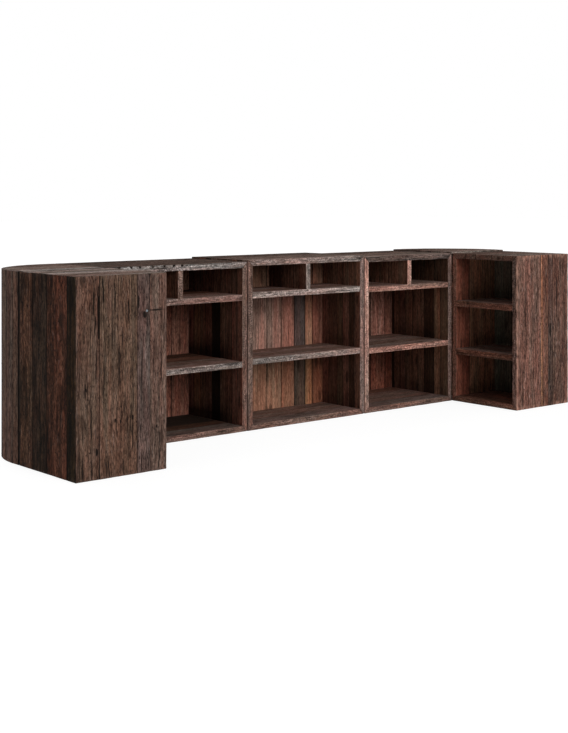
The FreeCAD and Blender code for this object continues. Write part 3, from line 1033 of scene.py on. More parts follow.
class EffectGroups:
    """Builds each shared node group once."""

    def tree(self, effect: Effect) -> bpy.types.NodeTree:
        """Gives an effect's node group, built on first use.

        Args:
            effect: Which effect.

        Returns:
            Its node group.
        """
        name, inputs, outputs = effect.value
        found = bpy.data.node_groups.get(name)
        if found:
            return found
        tree = bpy.data.node_groups.new(name, "ShaderNodeTree")
        for socket in inputs:
            kind = "NodeSocketVector" if socket == "Grain" else "NodeSocketFloat"
            tree.interface.new_socket(socket, in_out="INPUT", socket_type=kind)
        for socket in outputs:
            tree.interface.new_socket(socket, in_out="OUTPUT", socket_type="NodeSocketFloat")
        bench = Bench(tree)
        given = bench.node("NodeGroupInput").outputs
        bench.node("NodeGroupOutput", getattr(self, effect.name.lower())(bench, given))
        return tree

    def place(self, bench: Bench, effect: Effect, **values: object) -> bpy.types.bpy_prop_collection:
        """Puts an effect's group into a material, feeds its inputs and gives its outputs."""
        return bench.node("ShaderNodeGroup", values, node_tree=self.tree(effect)).outputs

    @staticmethod
    def wandering(bench: Bench, grain: object, reach: float) -> bpy.types.NodeSocket:
        """Lets the grain wander from side to side.

        Args:
            bench: The group's bench.
            grain: Coordinates along, across and through the plank.
            reach: How far it wanders, in metres.

        Returns:
            The bent coordinates.
        """
        drift = bench.noise(grain, Pattern.WANDER).node.outputs["Color"]
        inputs = {0: drift, 1: (MIDDLE, MIDDLE, MIDDLE)}
        centred = bench.node("ShaderNodeVectorMath", inputs, operation="SUBTRACT").outputs[0]
        inputs = {0: grain, 1: bench.stretch(centred, (0.0, reach, reach))}
        return bench.node("ShaderNodeVectorMath", inputs, operation="ADD").outputs[0]

    def figure(self, bench: Bench, given: object) -> dict[str, object]:
        """Makes the streaks, fibres, growth rings and stains of old timber.

        Args:
            bench: The group's bench.
            given: The group's inputs.

        Returns:
            The outputs by name.
        """
        grain = given["Grain"]
        bent = self.wandering(bench, grain, FIGURE_SWAY)
        parts = bench.node("ShaderNodeSeparateXYZ", {0: bent}).outputs
        across, through = (bench.math("POWER", parts[axis], 2.0) for axis in (Y, Z))
        reach = bench.math("SQRT", bench.math("ADD", across, through))
        ring = bench.spread(bench.math("FRACT", bench.times(reach, RINGS)), *RING_RANGE)
        return {
            "Streak": bench.noise(bent, Pattern.STREAK),
            "Fibre": bench.noise(bent, Pattern.FIBRE),
            "Ring": bench.math("POWER", ring, 2.0),
            "Mottle": bench.noise(grain, Pattern.MOTTLE),
            "Dash": bench.patches(bent, Pattern.DASH),
            "Pit": bench.patches(bent, Pattern.PIT),
            "Hue": bench.patches(grain, Pattern.HUE),
            "Fleck": bench.patches(bent, Pattern.FLECK),
            "Blotch": bench.patches(bent, Pattern.BLOTCH),
        }

    def checks(self, bench: Bench, given: object) -> dict[str, object]:
        """Makes thin drying cracks along the grain.

        Args:
            bench: The group's bench.
            given: The group's inputs.

        Returns:
            The outputs by name.
        """
        bent = self.wandering(bench, given["Grain"], CHECK_SWAY)
        line = bench.noise(bent, Pattern.CHECK_LINE)
        off = bench.math("ABSOLUTE", bench.math("SUBTRACT", line, MIDDLE))
        thin = bench.spread(off, *CHECK_FADE)
        patch = bench.patches(given["Grain"], Pattern.CHECK_PATCH)
        return {"Mask": bench.times(thin, patch, given["Amount"])}

    def knots(self, bench: Bench, given: object) -> dict[str, object]:
        """Makes scattered knots, old nail holes and the iron stains round them.

        Args:
            bench: The group's bench.
            given: The group's inputs.

        Returns:
            The outputs by name.
        """

        def scatter(scale: tuple[float, float, float], share: float) -> tuple[object, object]:
            """Scatters points and keeps a share of them.

            Args:
                scale: Cells per metre along each axis.
                share: How many of the points are kept.

            Returns:
                Distance from the nearest point, and how strong that point is.
            """
            inputs = {"Vector": bench.stretch(given["Grain"], scale), "Scale": 1.0}
            cells = bench.node("ShaderNodeTexVoronoi", inputs, feature="F1").outputs
            pick = bench.node("ShaderNodeSeparateColor", {0: cells["Color"]}).outputs[0]
            chosen = bench.math("LESS_THAN", pick, share)
            return cells["Distance"], bench.times(chosen, given["Amount"])

        rough = bench.noise(given["Grain"], Pattern.KNOT_EDGE)
        wobble = bench.times(bench.math("SUBTRACT", rough, MIDDLE), KNOT_RAGGED)
        far, knot = scatter(*KNOT_CELLS)
        knot_mask = bench.spread(bench.math("ADD", far, wobble), *KNOT_FADE)
        near, nail = scatter(*NAIL_CELLS)
        hole_mask = bench.spread(near, *HOLE_FADE)
        stain_mask = bench.spread(bench.math("ADD", near, wobble), *STAIN_FADE)
        return {
            "Knot": bench.times(knot_mask, knot),
            "Hole": bench.times(hole_mask, nail),
            "Stain": bench.times(stain_mask, nail),
        }

    def sawn(self, bench: Bench, given: object) -> dict[str, object]:
        """Makes the slanting marks that a frame saw leaves on edges.

        Args:
            bench: The group's bench.
            given: The group's inputs.

        Returns:
            The outputs by name.
        """
        grain = given["Grain"]
        parts = bench.node("ShaderNodeSeparateXYZ", {0: grain}).outputs
        slope = bench.math("ADD", parts[0], bench.times(parts[2], SAW_SLANT))
        shake = bench.noise(grain, Pattern.SAW_SHAKE)
        phase = bench.math("ADD", bench.times(slope, SAW_PITCH), bench.times(shake, SAW_SWAY))
        return {
            "Mark": bench.math("ADD", bench.times(bench.math("SINE", phase), 0.5), 0.5),
            "Patch": bench.patches(grain, Pattern.SAW_PATCH),
            "Spot": bench.patches(grain, Pattern.SAW_SPOT),
        }

    def wear(self, bench: Bench, given: object) -> dict[str, object]:
        """Makes patches of pale rubbed timber along arrises."""
        return {"Mask": bench.times(bench.patches(given["Grain"], Pattern.RUB), given["Wear"])}


EFFECTS = EffectGroups()


class Source(Enum):
    """Where a finish finds the grain: on planks with attributes, or on plain CAD solids."""

    PLANKS = "planks"
    SOLID = "solid"


@dataclass(frozen=True)
class Finish:
    """One finish of the counter and the material that it makes.

    Attributes:
        name: Name of the material.
        slot: The record's material slot; not used.
        wash: sRGB colour of the grey or brown bloom over the timber.
        bloom: How much of the wash shows.
        contrast: How strongly the streaks change the tone.
        fibre: How strongly the fine fibres do.
        broken: How dark the short splits and pits are.
        fleck: How bright the pale flecks are.
        blotch: How dark the broad stains are.
        ring: How dark the growth rings are.
        checks: How dark the drying cracks are.
        knots: How dark the knots and nail holes are.
        pale: sRGB colour of rubbed arrises, and of plain solids all over.
        sawn: How strong the saw marks and specks on edges are.
        wear: How much of the pale colour shows on rubbed arrises.
        rough: Roughness of bare and of rubbed timber.
        relief: Height of the surface's relief, in metres.
        sheen: How much the surface mirrors at glancing angles.
        coarse: Size of the figure across the grain.
        source: Where the grain comes from.
    """

    name: str
    slot: str
    wash: tuple[int, int, int] = (98, 84, 78)
    bloom: float = 0.25
    contrast: float = 0.45
    fibre: float = 0.68
    broken: float = 0.95
    fleck: float = 0.4
    blotch: float = 0.2
    ring: float = 0.25
    checks: float = 0.9
    knots: float = 0.65
    pale: tuple[int, int, int] = (132, 110, 101)
    sawn: float = 0.95
    wear: float = 0.4
    rough: tuple[float, float] = (0.82, 0.62)
    relief: float = 0.0022
    sheen: float = 0.06
    coarse: float = 1.0
    source: Source = Source.PLANKS

    def material(self) -> bpy.types.Material:
        """Gives the finish's material, built on first use.

        Returns:
            The material.
        """
        found = bpy.data.materials.get(self.name)
        if found:
            return found
        material = bpy.data.materials.new(self.name)
        material.use_nodes = True
        bench = Bench(material.node_tree)
        shader = material.node_tree.nodes["Principled BSDF"]
        shader.inputs["Specular IOR Level"].default_value = self.sheen
        self.dress(bench, shader)
        return material

    def dress(self, bench: Bench, shader: bpy.types.Node) -> None:
        """Feeds the shader its colour, roughness and relief.

        Args:
            bench: The material's bench.
            shader: Its Principled shader.
        """
        on_planks = self.source is Source.PLANKS
        grain, tone, weathering = self.ground(bench)
        figure = EFFECTS.place(bench, Effect.FIGURE, Grain=grain)
        checks = EFFECTS.place(bench, Effect.CHECKS, Grain=grain, Amount=weathering)
        spots = EFFECTS.place(bench, Effect.KNOTS, Grain=grain, Amount=self.knots)

        calm, even = 1.0, 1.0
        if on_planks:
            kind = bench.attribute("kind").outputs["Fac"]
            inner = bench.near(kind, Side.LINING)
            edge = bench.near(kind, Side.EDGE)
            calm = bench.math("SUBTRACT", 1.0, bench.times(inner, LINING_CALM))
            even = bench.math("SUBTRACT", calm, bench.times(edge, EDGE_CALM))
        colour = self.figured(bench, figure, tone, weathering)
        blotch = bench.times(figure["Blotch"], self.blotch, calm)
        colour = bench.mix(blotch, colour, bench.stretch(colour, STAINED))
        broken = bench.math("MAXIMUM", figure["Dash"], bench.times(figure["Pit"], PIT_DARK))
        broken = bench.times(broken, self.broken, calm)
        colour = bench.mix(broken, colour, bench.scale(colour, SPLIT_LIGHT))
        fleck = bench.times(figure["Fleck"], self.fleck, even)
        colour = bench.mix(fleck, colour, bench.fade(colour, *FLECK_FADE))
        colour = bench.mix(bench.times(spots["Stain"], STAIN_DARK), colour, IRON_STAIN)
        colour = bench.mix(spots["Knot"], colour, KNOT_BROWN)

        height = bench.math("ADD", bench.times(figure["Streak"], STREAK_HEIGHT), figure["Fibre"])
        if on_planks:
            colour, rubbed, ridges = self.aged(bench, colour, grain, weathering, kind, edge)
            height = bench.math("ADD", height, ridges)
            rough = bench.spread(rubbed, *RUBBED_RANGE, self.rough)
        else:
            rough = bench.spread(figure["Mottle"], *FINE_RANGE, self.rough)
        split = bench.times(checks["Mask"], self.checks)
        colour = bench.mix(split, colour, CHECK_BLACK)
        colour = bench.mix(spots["Hole"], colour, HOLE_BLACK)
        sunk = bench.math("ADD", bench.times(split, SPLIT_DEPTH), bench.times(spots["Hole"], HOLE_DEPTH))
        sunk = bench.math("ADD", sunk, broken)
        height = bench.math("SUBTRACT", height, sunk)
        bench.feed(shader.inputs["Base Color"], colour)
        bench.feed(shader.inputs["Roughness"], rough)
        bench.feed(shader.inputs["Normal"], bench.bump(height, self.relief))

    def ground(self, bench: Bench) -> tuple[object, object, object]:
        """Finds the grain, the timber's own colour and how weathered it is.

        Args:
            bench: The material's bench.

        Returns:
            The three, as outputs on planks; the last two as plain values on solids.
        """
        if self.source is Source.PLANKS:
            grain = bench.attribute("grain").outputs["Vector"]
            plank = bench.attribute("tone")
            tone, weathering = plank.outputs["Color"], plank.outputs["Alpha"]
        else:
            grain = bench.node("ShaderNodeTexCoord").outputs["Object"]
            tone, weathering = linear(self.pale), SOLID_WEATHERING
        if self.coarse != 1.0:
            grain = bench.stretch(grain, (1.0, 1 / self.coarse, 1 / self.coarse))
        return grain, tone, weathering

    def figured(self, bench: Bench, figure: object, tone: object, weathering: object) -> bpy.types.NodeSocket:
        """Draws streaks, hues, fibres, bloom and growth rings into the timber's own colour.

        Args:
            bench: The material's bench.
            figure: Outputs of the timber's figure.
            tone: The timber's own colour.
            weathering: How weathered it is.

        Returns:
            The colour's output.
        """
        light = bench.spread(figure["Streak"], *STREAK_RANGE, (1 - self.contrast, 1 + self.contrast))
        colour = bench.scale(tone, light)
        colour = bench.mix(figure["Hue"], bench.stretch(colour, COOL), bench.stretch(colour, WARM))
        hair = bench.spread(figure["Fibre"], *FINE_RANGE, (1 - self.fibre, 1 + self.fibre))
        colour = bench.scale(colour, hair)
        colour = bench.scale(colour, bench.spread(figure["Mottle"], *FINE_RANGE, MOTTLE_LIGHT))
        bloom = bench.times(bench.spread(figure["Mottle"], *BLOOM_RANGE), self.bloom, weathering)
        colour = bench.mix(bloom, colour, (*linear(self.wash), 1.0))
        return bench.mix(bench.times(figure["Ring"], self.ring), colour, bench.scale(colour, RING_LIGHT))

    def aged(
        self, bench: Bench, colour: object, grain: object, weathering: object, kind: object, edge: object
    ) -> tuple[object, object, object]:
        """Gives planks their saw marks, rubbed arrises, painted shade in the low back corners and dark
        joints.

        Args:
            bench: The material's bench.
            colour: Colour of the timber so far.
            grain: Coordinates along, across and through the plank.
            weathering: How weathered it is.
            kind: Kind of each face.
            edge: 1 on sawn edges, 0 elsewhere.

        Returns:
            Outputs of the colour, of how rubbed it is, and of the saw marks' ridges.
        """
        sawn = EFFECTS.place(bench, Effect.SAWN, Grain=grain)
        marks = bench.spread(sawn["Mark"], *SAW_RANGE, SAW_LIGHT)
        share = bench.times(edge, sawn["Patch"], self.sawn)
        colour = bench.mix(share, colour, bench.scale(colour, marks))
        colour = bench.mix(bench.times(share, weathering), colour, bench.fade(colour, DUSTY))
        colour = bench.mix(bench.times(edge, self.sawn), colour, bench.scale(colour, sawn["Spot"]))
        end = bench.math("GREATER_THAN", kind, (Side.EDGE.value + Side.END.value) / 2)
        colour = bench.mix(bench.times(end, END_DARK), colour, bench.scale(colour, END_LIGHT))
        worn = bench.attribute("wear").outputs["Fac"]
        rubbed = EFFECTS.place(bench, Effect.WEAR, Grain=grain, Wear=worn)["Mask"]
        colour = bench.mix(bench.times(rubbed, self.wear), colour, (*linear(self.pale), 1.0))
        # Painted shade: the colour is darkened towards the low back corners
        unshaded = bench.math("SUBTRACT", 1.0, bench.attribute("soot").outputs["Fac"])
        colour = bench.scale(colour, unshaded)
        crack = bench.attribute("crack").outputs["Fac"]
        core = bench.times(bench.spread(crack, *CORE_RANGE), CORE_DARK)
        deep = bench.math("MAXIMUM", core, bench.times(crack, CRACK_DARK))
        return bench.mix(deep, colour, CRACK_BLACK), rubbed, bench.times(sawn["Mark"], edge, SAW_HEIGHT)


@dataclass(frozen=True)
class NailIron(Finish):
    """Rusted iron of the nails.

    Attributes:
        metal: Linear colour of the bare metal.
        crusted: Range of the crust's noise over which rust takes the metal's place.
    """

    metal: tuple[float, float, float] = (0.020, 0.017, 0.016)
    crusted: tuple[float, float] = (0.42, 0.60)

    def dress(self, bench: Bench, shader: bpy.types.Node) -> None:
        """Feeds the shader rust over dark iron.

        Args:
            bench: The material's bench.
            shader: Its Principled shader.
        """
        place = bench.node("ShaderNodeTexCoord").outputs["Object"]
        crust = bench.noise(place, Pattern.CRUST)
        rust = bench.spread(crust, *self.crusted)
        colour = bench.mix(rust, (*self.metal, 1.0), RUST_CRUST)
        bench.feed(shader.inputs["Base Color"], colour)
        bench.feed(shader.inputs["Metallic"], bench.spread(crust, *CRUST_METAL))
        bench.feed(shader.inputs["Roughness"], bench.spread(crust, *CRUST_ROUGH))
        bench.feed(shader.inputs["Normal"], bench.bump(crust, self.relief))


OUTER = Finish("weathered_planks", "weathered_timber")
SKIN = replace(OUTER, name="arm_skin_planks", contrast=0.65, fleck=0.5, blotch=0.9, wear=0.15, coarse=2.0)
# The tops have no sheen of their own; their lighter colours carry it as painted sheen
TOPS = Finish("worn_tops", "weathered_timber", bloom=0.3, contrast=0.5, blotch=0.35, wear=0.5, sheen=0.0)
CARCASS = replace(OUTER, name="carcass_boards", bloom=0.1, fibre=0.45, broken=0.8, fleck=0.3, wear=0.55)
SHELVES = replace(CARCASS, name="shelf_boards", slot="shelf_timber", bloom=0.2, checks=0.8, sheen=0.02)
LININGS = Finish(
    "inner_planks", "inner_timber", bloom=0.1, contrast=0.4, fibre=0.4, broken=0.7, fleck=0.2,
    checks=1.0, sawn=0.3, wear=0.1,
)
RIGHT_PANEL = Finish(
    "right_panel_planks", "weathered_timber", bloom=0.3, contrast=0.5, fleck=0.6, blotch=0.4,
    pale=(196, 150, 130), wear=1.0, coarse=1.25,
)
JOINERY = Finish(
    "sawn_joinery", "joinery_timber", pale=(176, 150, 116), contrast=0.25, knots=0.3, source=Source.SOLID
)
CORNER_WALLS = replace(JOINERY, name="corner_walls", pale=(104, 76, 62), contrast=0.35)
IRON = NailIron("rusted_iron", "nail_iron", relief=0.0006)
BARE_IRON = NailIron(
    "bare_iron", "nail_iron", relief=0.0003, sheen=0.5, metal=(0.17, 0.20, 0.22), crusted=(0.62, 0.72)
)


def loose_parts(node: str) -> list[np.ndarray]:
    """Splits a CAD node into its separate solids.

    Args:
        node: The node's name.

    Returns:
        The points of each solid, in the row's frame.
    """
    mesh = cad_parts[node].data
    points = np.zeros(len(mesh.vertices) * 3, np.float32)
    mesh.vertices.foreach_get("co", points)
    points = points.reshape(-1, 3).astype(float)
    merged = np.unique(np.round(points, 5), axis=0, return_inverse=True)[1].ravel()
    parent = list(range(int(merged.max()) + 1))

    def root(i: int) -> int:
        """Finds the solid that a point belongs to so far.

        Args:
            i: The point's number.

        Returns:
            Number of the solid's first point.
        """
        while parent[i] != i:
            parent[i] = parent[parent[i]]
            i = parent[i]
        return i

    for edge in mesh.edges:
        first, second = (root(int(merged[v])) for v in edge.vertices)
        parent[max(first, second)] = min(first, second)
    label = np.array([root(int(m)) for m in merged])
    return [points[label == name] for name in sorted(set(label.tolist()))]


def corners(*nodes: str) -> np.ndarray:
    """Gives the box round some CAD nodes, as lowest and highest corners."""
    lows, highs = zip(*(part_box(node) for node in nodes))
    return np.array([np.min(lows, axis=0), np.max(highs, axis=0)])


def add_object(name: str, data: bpy.types.ID) -> bpy.types.Object:
    """Puts a new object into the scene.

    Args:
        name: Its name.
        data: Its mesh, lamp or camera.

    Returns:
        The object.
    """
    made = bpy.data.objects.new(name, data)
    bpy.context.scene.collection.objects.link(made)
    return made


def make_piece(name: str, points: list, faces: list, finish: Finish) -> bpy.types.Object:
    """Makes a piece and sets it on the counter's body.

    Args:
        name: The piece's name.
        points: Its points.
        faces: Its faces.
        finish: The finish it takes.

    Returns:
        The piece.
    """
    mesh = bpy.data.meshes.new(name)
    mesh.from_pydata(points, [], faces)
    mesh.polygons.foreach_set("use_smooth", np.ones(len(faces), bool))
    mesh.materials.append(finish.material())
    piece = add_object(name, mesh)
    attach(piece, BODY)
    LOG.info("%s: %d faces", name, len(faces))
    return piece


# Flat boards of a corner unit's skin, before its staves
FLATS = 2

# Colours of a bay's bottom, from front to back; the darker ones at the back are painted shade
FLOOR_TONES = (Tone.FLOOR, Tone.PLANKED, Tone.PLANKED, Tone.SHADE)


@dataclass
class Unit:
    """One free-standing unit of the row: a box of boards with one open side.

    Attributes:
        name: The unit's name, which its nodes' names start with.
        seed: Where its planks' patterns start.
        seams: Its sides that stand against another unit, as axis and side.
        grime: How dark those seams are.
        outer: Lowest and highest corners outside.
        inner: The same inside the boards.
    """

    name: str
    seed: int
    seams: tuple[tuple[int, int], ...]
    grime: float = field(kw_only=True, default=0.4)
    outer: np.ndarray = field(init=False)
    inner: np.ndarray = field(init=False)

    def node(self, part: str) -> str:
        """Gives the name of one of the unit's CAD nodes."""
        return f"{self.name}_{part}"

    def next_seed(self) -> int:
        """Gives each plank a pattern of its own."""
        self.seed += SEED_STEP
        return self.seed

    def measure(self, boards: dict[str, tuple[int, int]]) -> None:
        """Finds the unit's outer and inner box from its boards.

        Args:
            boards: Axis and side of each board, by part name.
        """
        self.outer = corners(*(self.node(part) for part in boards))
        self.inner = self.outer.copy()
        for part, (axis, side) in boards.items():
            box = corners(self.node(part))
            self.inner[side, axis] = box[1 - side, axis]

    def board(
        self, part: str, axis: int, side: int, grain: int, layout: Layout, finish: Finish,
        cuts: Sequence[tuple[float, float]] = (),
    ) -> None:
        """Builds a mitred board out of planks.

        Args:
            part: The CAD part that it replaces.
            axis: Axis that its broad faces look along.
            side: Which side of the unit it is on.
            grain: Axis of its grain.
            layout: Its planks.
            finish: The finish it takes.
            cuts: Range of each plank across the grain, if the layout's shares don't give it.
        """
        width = 3 - axis - grain
        cuts = cuts or layout.ranges(*self.outer[:, width])
        mesh = PlankMesh(self.node(part) + "_planks")
        last = len(cuts) - 1
        for number, (low, high) in enumerate(cuts):
            spans = []
            for box in (self.outer, self.inner):
                first = box[LOW, width] if number == 0 else low + layout.joint
                final = box[HIGH, width] if number == last else high - layout.joint
                spans.append((*box[:, grain], first, final))
            plank = Plank(
                layout, number, normal=axis, grain=grain, outer=spans[0], inner=spans[1],
                depth=(self.outer[side, axis], self.inner[side, axis]), joints=(number > 0, number < last),
                box=self.outer, seams=self.seams, grime=self.grime, seed=self.next_seed(),
            )
            mesh.add(plank)
        mesh.build(finish, self.node(part))

    def slab(
        self, part: str, normal: int, grain: int, layout: Layout, finish: Finish, trim: float = 0.0
    ) -> None:
        """Builds a shelf, divider or inner back out of planks.

        Args:
            part: The CAD part that it replaces.
            normal: Axis that its broad faces look along.
            grain: Axis of its grain.
            layout: Its planks.
            finish: The finish it takes.
            trim: How much of its hidden tongues is left off at each end.
        """
        box = corners(self.node(part))
        along = (box[LOW, grain] + trim, box[HIGH, grain] - trim)
        mesh = PlankMesh(self.node(part) + "_planks")
        last = len(layout.shares) - 1
        for number, (low, high) in enumerate(layout.ranges(*box[:, 3 - normal - grain])):
            span = (*along, low + layout.joint, high - layout.joint)
            plank = Plank(
                layout, number, normal=normal, grain=grain, outer=span, inner=span,
                depth=(box[HIGH, normal], box[LOW, normal]), joints=(number > 0, number < last),
                seed=self.next_seed(),
            )
            mesh.add(plank)
        mesh.build(finish, self.node(part))

    def clad(self, axis: int, side: int, layout: Layout, finish: Finish) -> None:
        """Builds the cladding of upright planks from the CAD's own planks.

        Args:
            axis: Axis that its outer face looks along.
            side: Which side of the unit it is on.
            layout: Colours and marks of the planks.
            finish: The finish it takes.
        """
        width = 3 - axis - Z
        parts = loose_parts(self.node("cladding"))
        ranges = sorted((part[:, width].min(), part[:, width].max()) for part in parts)
        middles = [(one[HIGH] + other[LOW]) / 2 for one, other in zip(ranges, ranges[1:])]
        cuts = list(zip([ranges[0][LOW], *middles], [*middles, ranges[-1][HIGH]]))
        self.board("cladding", axis, side, Z, replace(layout, joint=OPEN_JOINT), finish, cuts)


@dataclass(kw_only=True)
class Bay(Unit):
    """A bay of open shelves in the middle of the row.

    Attributes:
        left: Planks of the left side, from front to back.
        right: Planks of the right side.
        back: Planks of the cladding, from left to right.
        top: Planks of the top, from front to back.
        shelf: Planks of the shelves and the bottom.
        lining: Planks of the inner back, if the bay has one.
        floor: Colours of the bottom's inner face, from front to back, darker at the back as painted shade.
        edges: Colours of front edges by part name, where they aren't brown.
        low: Shares of the back's colour left under the mid shelf, which darken it as painted shade.
        attic: Colour of the sides' inner faces over the upper shelf, set for the shade there: painted shade.
        middle: Colour of the divider's left face.
        dirt: How dark the painted shade on the sides is, towards the low back corners.
    """

    BOARDS = {
        "left_side": (X, LOW),
        "right_side": (X, HIGH),
        "bottom": (Z, LOW),
        "top": (Z, HIGH),
        "cladding": (Y, HIGH),
    }

    left: Layout
    right: Layout
    back: Layout
    top: Layout
    shelf: Layout
    lining: Optional[Layout] = None
    floor: tuple[Tone, ...] = FLOOR_TONES
    edges: dict[str, Tone]
    low: tuple[float, float, float] = (1.0, 1.0, 1.0)
    attic: Tone = Tone.LOFT
    middle: Tone = Tone.SHADE
    dirt: float

    def edged(self, part: str, layout: Layout) -> Layout:
        """Gives a layout with the front edge's own colour."""
        return replace(layout, edge=self.edges.get(part, Tone.EDGE_BROWN))

    def build(self) -> None:
        """Builds the bay's boards, shelves and planks."""
        self.measure(self.BOARDS)
        mid, upper = (corners(self.node(part)) for part in ("mid_shelf", "upper_shelf"))
        # Over the upper shelf the inner faces take one plainer colour that stands in for the shade there:
        # painted shade
        loft = upper[LOW, Z] + SHELF_COVER
        # Painted shade darkens the sides' inner faces towards the low back corners
        soot = PaintedShade(Y, self.outer[LOW, Y], (self.inner[LOW, Z], mid[HIGH, Z]), self.dirt)
        for part, layout in (("left_side", self.left), ("right_side", self.right)):
            layout = replace(layout, upper=(loft, self.attic), soot=soot, rest=Detail.INSIDE)
            axis, side = self.BOARDS[part]
            self.board(part, axis, side, Z, self.edged(part, layout), CARCASS)
        floor = replace(self.shelf, linings=self.floor)
        self.board("bottom", Z, LOW, X, self.edged("bottom", floor), CARCASS)
        self.board("top", Z, HIGH, X, self.edged("top", self.top), TOPS)
        # Painted shade on the back's inner face: darker under the mid shelf, and one plainer colour over the
        # upper shelf
        inside = {"upper": (loft, Tone.LOFT), "lower": (mid[LOW, Z] + SHELF_COVER, self.low)}
        self.clad(Y, HIGH, replace(self.back, **inside), OUTER)
        for part in ("mid_shelf", "upper_shelf"):
            self.slab(part, Z, X, self.edged(part, self.shelf), SHELVES, trim=SHELF_TONGUE)
        upright = Layout(
            (1, 1, 1), (Tone.RUST, Tone.SHADE, Tone.PEAT), (self.middle, self.middle, Tone.PEAT)
        )
        self.slab("divider", X, Z, self.edged("divider", upright), SHELVES)
        if self.lining:
            self.slab("inner_back", Y, Z, replace(self.lining, **inside), LININGS)


@dataclass(kw_only=True)
class EndUnit(Unit):
    """One arm of the U, with open shelves towards the inside.

    Attributes:
        hand: Side of the row that it closes.
        panel_finish: Finish of the end panel.
        panel: Planks of the end panel, from left to right.
        skin: Planks of the outer cladding, from front to back.
        lining: Planks of the inner back, from front to back.
        top: Planks of the top, from front to back.
        shelf: Planks of the shelves and the bottom.
        side: Planks of the corner side.
        dirt: How dark the painted shade inside is, towards the low back corners.
    """

    hand: int
    panel_finish: Finish
    panel: Layout
    skin: Layout
    lining: Layout
    top: Layout
    shelf: Layout
    side: Layout
    dirt: float = 0.72

    def build(self) -> None:
        """Builds the arm's boards, shelves and planks."""
        self.measure(
            {
                "panel": (Y, LOW),
                "corner_side": (Y, HIGH),
                "bottom": (Z, LOW),
                "top": (Z, HIGH),
                "cladding": (X, self.hand),
            }
        )
        shelves = ("lower_shelf", "upper_shelf")
        floors = [self.inner[LOW, Z], *(corners(self.node(part))[HIGH, Z] for part in shelves)]
        # Painted shade darkens the inner faces towards the low back corners
        soot = PaintedShade(X, self.outer[1 - self.hand, X], tuple(floors), self.dirt)
        corner_shaded = {"soot": soot, "rest": Detail.INSIDE}
        self.board("panel", Y, LOW, Z, self.panel, self.panel_finish)
        self.board("corner_side", Y, HIGH, Z, replace(self.side, **corner_shaded), CARCASS)
        self.board("bottom", Z, LOW, Y, self.shelf, CARCASS)
        self.board("top", Z, HIGH, X, self.top, TOPS)
        self.clad(X, self.hand, self.skin, SKIN)
        for part in shelves:
            self.slab(part, Z, Y, self.shelf, SHELVES, trim=SHELF_TONGUE)
        self.slab("inner_back", X, Z, replace(self.lining, detail=Detail.INSIDE, **corner_shaded), LININGS)


